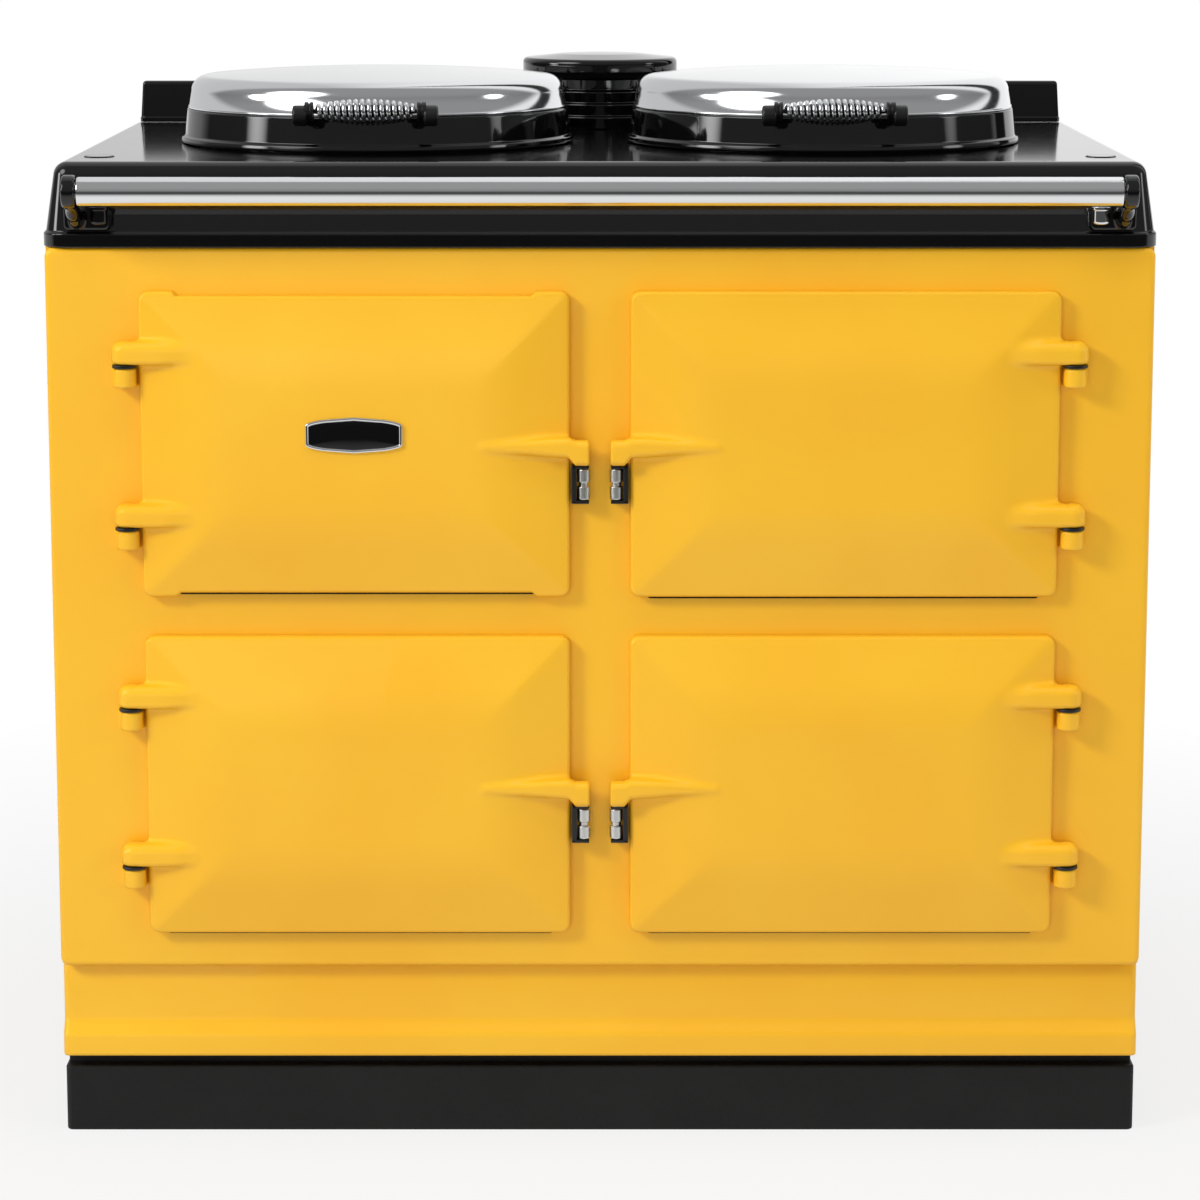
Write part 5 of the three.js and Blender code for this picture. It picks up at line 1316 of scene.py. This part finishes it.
    def coil(self) -> Mesh:
        """The coil: one wire that follows a swelling spiral, made by a node tree."""
        grower = Grower(f"coil_{self.side.word}", {
            "Length": self.coil_length * MM, "Turns": self.coil_turns, "Wire radius": self.coil_wire / 2 * MM,
            "Middle radius": self.coil_middle * MM, "End radius": self.coil_end * MM,
        })
        given, step = grower.given, functools.partial(calc, grower.tree)
        line = grower.add("CurvePrimitiveLine", {"Start": (0, 0, 0), "End": (1, 0, 0)})
        dense = grower.add("ResampleCurve", {"Count": int(self.coil_turns * 20), "Curve": line})
        along = grower.add("SplineParameter").outputs["Factor"]
        share = step("MULTIPLY_ADD", along, 2.0, -1.0)
        swell = step("SUBTRACT", 1.0, step("MULTIPLY", share, share))
        widening = step("SUBTRACT", given["Middle radius"], given["End radius"])
        radius = step("MULTIPLY_ADD", widening, swell, given["End radius"])
        angle = step("MULTIPLY", step("MULTIPLY", along, given["Turns"]), 2 * math.pi)
        place = add_node(grower.tree, "ShaderNodeCombineXYZ", {
            "X": step("MULTIPLY", step("MULTIPLY", share, 0.5), given["Length"]),
            "Y": step("MULTIPLY", radius, step("COSINE", angle)),
            "Z": step("MULTIPLY", radius, step("SINE", angle)),
        })
        bent = grower.add("SetPosition", {"Geometry": dense, "Position": place})
        section = grower.add("CurvePrimitiveCircle", {"Resolution": 12, "Radius": given["Wire radius"]})
        wire = grower.add("CurveToMesh", {"Fill Caps": True, "Curve": bent, "Profile Curve": section})
        smooth = grower.add("SetShadeSmooth", {"Geometry": wire})
        x, y, z = self.middle
        return grower.mesh(smooth, CHROME, (x, y - self.handle_forward, z + self.handle_height))

    def hinge(self) -> Skin:
        """The fixed half of the hinge: a foot on the hob, two ears and their pin."""
        foot = soft_box((68, 34, 5), 1.5).moved(y=self.hinge_y, z=2.8)
        corners = [(-17, 0.4, 1), (17, 0.4, 1), (12, 24, 4), (9, 36, 9), (-9, 36, 9), (-12, 24, 4)]
        outline = eased(corners, 5, support=0, loop=True)
        ear = prism(outline, [(1, 26), (0.3, 26.3), (0, 27), (0, 33), (0.3, 33.7), (1, 34)])
        ear = Skin(ear.points[:, [2, 0, 1]], ear.faces).moved(y=self.hinge_y)
        pin = rod(5, -35, 35, 1.5, 3, 32).across().moved(y=self.hinge_y, z=self.hinge_height)
        return foot.plus(ear.mirrored(), ear, pin)


# ---- Towel rail ----


@dataclass
class TowelRail:
    """The chrome rail across the front and the two cast brackets that hold it."""

    half_length: float = 456.0
    tenon_end: float = 463.0
    tenon_radius: float = 8.0
    radius: float = 12.7
    boss_radius: float = 14.5
    inner: float = 456.3
    outer: float = 468.3
    foot_inward: float = 28.0
    foot_outward: float = 12.0
    foot_z: float = 847.0
    nut_x: float = 441.6
    nut_z: float = 850.0

    def build(self) -> None:
        """Builds the rail, its brackets and their nuts."""
        half = [(self.radius, self.half_length, 4), (self.tenon_radius, self.half_length, 0),
                (self.tenon_radius, self.tenon_end, 0.5), (0, self.tenon_end, 0)]
        shape = turned([*((r, -x, e) for r, x, e in reversed(half)), *half], 6, 96, 1.0)
        shape = shape.across().moved(y=LAYOUT.rail_y, z=LAYOUT.rail_z)
        piece("rail", shape, RAIL_CHROME, "towel_rail")
        for side in Side:
            self.bracket(side)

    def bracket_form(self, x: Array, y: Array, z: Array) -> Array:
        """Distance from the right-hand bracket: a boss, a bowed arm and a foot on the hob's skirt."""
        proud, middle = LAYOUT.front_y - y, (self.inner + self.outer) / 2
        half = (self.outer - self.inner) / 2
        off_axis = np.hypot(proud - (LAYOUT.front_y - LAYOUT.rail_y), z - LAYOUT.rail_z)
        made = round_both(off_axis - self.boss_radius, np.abs(x - middle) - half, 2.5)
        path = [(46.0, 866.0, 8.5), (33.0, 855.0, 7.5), (20.0, 849.0, 7.5), (7.0, 847.0, 9.0)]
        for (p0, z0, r0), (p1, z1, r1) in zip(path, path[1:]):
            run = np.array([p1 - p0, z1 - z0])
            share = np.clip(((proud - p0) * run[0] + (z - z0) * run[1]) / (run @ run), 0, 1)
            off = (proud - p0 - share * run[0]) ** 2 + (z - z0 - share * run[1]) ** 2
            arm = np.sqrt(off + (x - middle) ** 2 * 1.9)
            made = flow(made, arm - (r0 + (r1 - r0) * share), 5.0)
        foot_x = within(x, middle - self.foot_inward, middle + self.foot_outward)
        foot = round_both(foot_x, np.abs(z - self.foot_z) - 11, 4.0)
        foot = round_both(foot, within(proud, -4.0, 6.3), 2.0)
        socket = np.maximum(off_axis - self.tenon_radius - 0.3, x - self.inner - 8)
        return np.maximum(flow(made, foot, 5.0), -socket)

    def bracket(self, side: Side) -> None:
        """One bracket with a domed nut at its foot; the left nut is black, a painted dark reflection."""
        grid = [graded(low, high, 1.0) for low, high in ((431.0, 479.0), (-351.0, -273.5), (832.0, 891.0))]
        shape = cast(self.bracket_form, *grid).sided(side)
        piece(f"bracket_{side.word}", shape, BLACK, f"rail_bracket_{side.word}", sharp=60)
        section = [(0, -8, 0), (7.8, -8, 2.6), (7.8, 4.6, 0.6), (9, 5, 0.6), (9, 8, 0.8), (0, 8, 0)]
        stud = turned(section, 6, 48, 0.3).moved(self.nut_x, LAYOUT.front_y - 14.6, self.nut_z).sided(side)
        # Both nuts are one part; the left one gets black enamel, not chrome, as painted shade for the dark
        # surroundings that a chrome nut there would mirror.
        piece(f"bracket_stud_{side.word}", stud, CHROME if side is Side.RIGHT else BLACK)


# ---- Inside the ovens ----


@dataclass
class Interior:
    """The ovens, their shelves and the control compartment, which show when the doors are open."""

    knob_spacing: float = 90.0
    panel_depth: float = 119.0

    def build(self) -> None:
        """Dresses the ovens and builds the knobs."""
        dress(OVEN_GREY, "roasting_oven", "baking_oven", "simmering_oven", "control_housing")
        dress(IRON, "roasting_shelf", "baking_shelf", "simmering_shelf")
        for index in range(3):
            self.knob(index)

    def knob(self, index: int) -> None:
        """A round knob with a raised bar across it."""
        dial = turned([
            (0, -9, 0), (4, -9, 0.5), (4, 0, 0), (22, 0, 0.8), (22, 6, 2), (18, 8.2, 1.5), (16, 24, 2.5),
            (0, 24, 0),
        ], 4, 64)
        shape = dial.plus(soft_box((6, 40, 9), 2).moved(z=22.5)).facing_front()
        x = -LAYOUT.door_x + (index - 1) * self.knob_spacing
        shape = shape.moved(x, LAYOUT.front_y + self.panel_depth, LAYOUT.door_rows[1])
        number = index + 1
        piece(f"knob_turning_{number}", shape, STOVE_BLACK, f"control_knob_{number}", f"knob_{number}_body")


# ---- Studio and camera ----


@dataclass(frozen=True)
class Lamp:
    """A rectangular soft lamp: its place, what it points at, its size in metres and its power in watts."""

    name: str
    place: Point
    aim: Point
    size: tuple[float, float]
    power: float

    def build(self) -> None:
        """Makes the lamp. It lights the object but shows in no reflection: the world's windows do that."""
        data = bpy.data.lights.new(self.name, "AREA")
        data.shape, data.size, data.size_y, data.energy = "RECTANGLE", *self.size, self.power
        made = in_scene(self.name, data)
        made.location = self.place
        made.rotation_euler = (Vector(self.aim) - Vector(self.place)).to_track_quat("-Z", "Y").to_euler()
        made.visible_glossy = False


@dataclass(frozen=True)
class Window:
    """A soft round window: its direction, the cosines where it starts and is full, and its strength."""

    direction: Point
    span: tuple[float, float]
    strength: float = 1.0

    def glow(self, tree: Tree, toward: Source) -> Node:
        """The window's light for a ray that goes toward a direction."""
        aim = tuple(Vector(self.direction).normalized())
        near = calc(tree, "DOT_PRODUCT", toward, aim, kind=VECTOR).outputs["Value"]
        return spread(tree, near, self.span, (0.0, self.strength))


@dataclass
class Studio:
    """A pale floor, soft lamps, a plain world, and the camera at the photograph's viewing angle."""

    floor_size: float = 60.0
    camera_distance: float = 3399.0
    camera_height: float = 1138.0
    camera_tilt: float = 9.52
    lens: float = 115.2
    shift: float = -0.06
    ambient: float = 0.22
    # How bright the surroundings look in a mirror, by height: the horizon and straight above come first.
    sky: tuple[tuple[float, str], ...] = (
        (0.0, "#505050"), (1.0, "#A4A4A4"), (0.04, "#585858"), (0.12, "#8C8C8C"), (0.5, "#A2A2A2"),
    )
    flag: Window = Window((0.755, 0.656, 0.0), (0.989, 0.9945))
    windows: tuple[Window, ...] = (
        Window((-0.667, -0.487, 0.5), (0.94, 0.985), 5.0),
        Window((-0.94, -0.27, 0.2), (0.985, 0.997), 9.0),
        Window((0.965, -0.17, 0.2), (0.990, 0.998), 4.0),
    )
    lamps: tuple[Lamp, ...] = (
        Lamp("key", (-3.0, -2.5, 2.8), (0.0, -0.2, 0.6), (1.1, 0.9), 94.0),
        Lamp("right front", (3.0, -2.3, 1.8), (0.0, -0.2, 0.6), (1.1, 0.9), 15.0),
        Lamp("front", (-0.6, -5.5, 1.3), (0.0, -0.2, 0.6), (3.0, 2.0), 72.0),
        Lamp("overhead", (0.0, -0.9, 3.6), (0.0, 0.0, 0.8), (2.4, 1.8), 44.0),
        Lamp("right side", (4.2, 0.2, 1.5), (0.4, 0.0, 0.5), (1.8, 1.8), 48.0),
    )

    def build(self) -> None:
        """Builds the floor, the world, the lamps and the camera."""
        bpy.context.scene.view_settings.view_transform = "Standard"
        self.floor()
        self.world()
        for lamp in self.lamps:
            lamp.build()
        self.camera()

    def floor(self) -> None:
        """A pale floor that shows white where no shadow falls, and dims towards the front in mirrors."""
        half = self.floor_size / 2
        mesh = bpy.data.meshes.new("floor")
        corners = [(-half, -half, 0), (half, -half, 0), (half, half, 0), (-half, half, 0)]
        mesh.from_pydata(corners, [], [(0, 1, 2, 3)])
        material, tree, place = surface("pale_floor")
        paint = add_node(tree, "ShaderNodeBsdfDiffuse", {"Color": linear("#D0D0D0")})
        away = calc(tree, "LENGTH", place, kind=VECTOR).outputs["Value"]
        ahead = add_node(tree, "ShaderNodeSeparateXYZ", {0: place}).outputs["Y"]
        mirrored = blend(tree, spread(tree, ahead, (-3.4, -1.2), (0, 1)), "#505050", "#FFFFFF")
        camera_ray = add_node(tree, "ShaderNodeLightPath").outputs["Is Camera Ray"]
        colour = blend(tree, camera_ray, mirrored, "#FFFFFF")
        glow = add_node(tree, "ShaderNodeEmission", {"Strength": 1.0, "Color": colour})
        share = calc(tree, "MULTIPLY", spread(tree, away, (0.6, 1.7), (0.8, 1)), seen_ray(tree))
        mixed = add_node(tree, "ShaderNodeMixShader", {0: share, 1: paint, 2: glow})
        add_node(tree, "ShaderNodeOutputMaterial", {"Surface": mixed})
        mesh.materials.append(material)
        in_scene("floor", mesh)

    def world(self) -> None:
        """A white backdrop for the camera, the surroundings for mirrors, and a plain ambient light."""
        world = bpy.data.worlds.new("studio")
        world.use_nodes = True
        tree = world.node_tree
        tree.nodes.clear()
        toward = add_node(tree, "ShaderNodeTexCoord").outputs["Generated"]
        split = add_node(tree, "ShaderNodeSeparateXYZ", {0: toward}).outputs
        sky = add_node(tree, "ShaderNodeValToRGB", {0: split["Z"]})
        stops = sky.color_ramp.elements
        for k, (position, code) in enumerate(self.sky):
            stop = stops[k] if k < 2 else stops.new(position)
            stop.position, stop.color = position, linear(code)
        behind = spread(tree, calc(tree, "MULTIPLY_ADD", split["Z"], 0.6, split["Y"]), (0.48, 0.64), (0, 1))
        back = spread(tree, split["X"], (-0.25, 0.1), (0.7, 1.1))
        around = blend(tree, behind, sky, back)
        flat = calc(tree, "MULTIPLY", toward, (1, 1, 0), kind=VECTOR)
        level = calc(tree, "NORMALIZE", flat, kind=VECTOR)
        around = blend(tree, self.flag.glow(tree, level), around, "#303030")
        glows = [window.glow(tree, toward) for window in self.windows]
        lit = functools.reduce(functools.partial(calc, tree, "ADD"), glows)
        around = blend(tree, 1.0, around, lit, "ADD")
        camera_ray = add_node(tree, "ShaderNodeLightPath").outputs["Is Camera Ray"]
        colour = blend(tree, camera_ray, around, "#FFFFFF")
        backdrop = add_node(tree, "ShaderNodeBackground", {"Strength": 1.0, "Color": colour})
        plain = add_node(tree, "ShaderNodeBackground", {"Strength": self.ambient, "Color": linear("#FFFFFF")})
        mixed = add_node(tree, "ShaderNodeMixShader", {0: seen_ray(tree), 1: plain, 2: backdrop})
        add_node(tree, "ShaderNodeOutputWorld", {"Surface": mixed})
        bpy.context.scene.world = world

    def camera(self) -> None:
        """A long lens in front of the doors, a little above the hob."""
        data = bpy.data.cameras.new("camera")
        data.sensor_width, data.lens, data.shift_y = 36.0, self.lens, self.shift
        data.clip_end = 200.0
        made = in_scene("camera", data)
        made.location = (0.0, (LAYOUT.front_y - self.camera_distance) * MM, self.camera_height * MM)
        made.rotation_euler = (math.radians(90 - self.camera_tilt), 0.0, 0.0)
        bpy.context.scene.camera = made


def main() -> None:
    """Builds every sub-assembly in order."""
    logging.basicConfig(level=logging.INFO, format="%(name)s: %(message)s")
    Studio().build()
    Cabinet().build()
    for place in DOORS:
        Door(place).build()
    Badge().build()
    Hob().build()
    for side in Side:
        Lid(side).build()
    TowelRail().build()
    Interior().build()


if __name__ == "__main__":
    main()
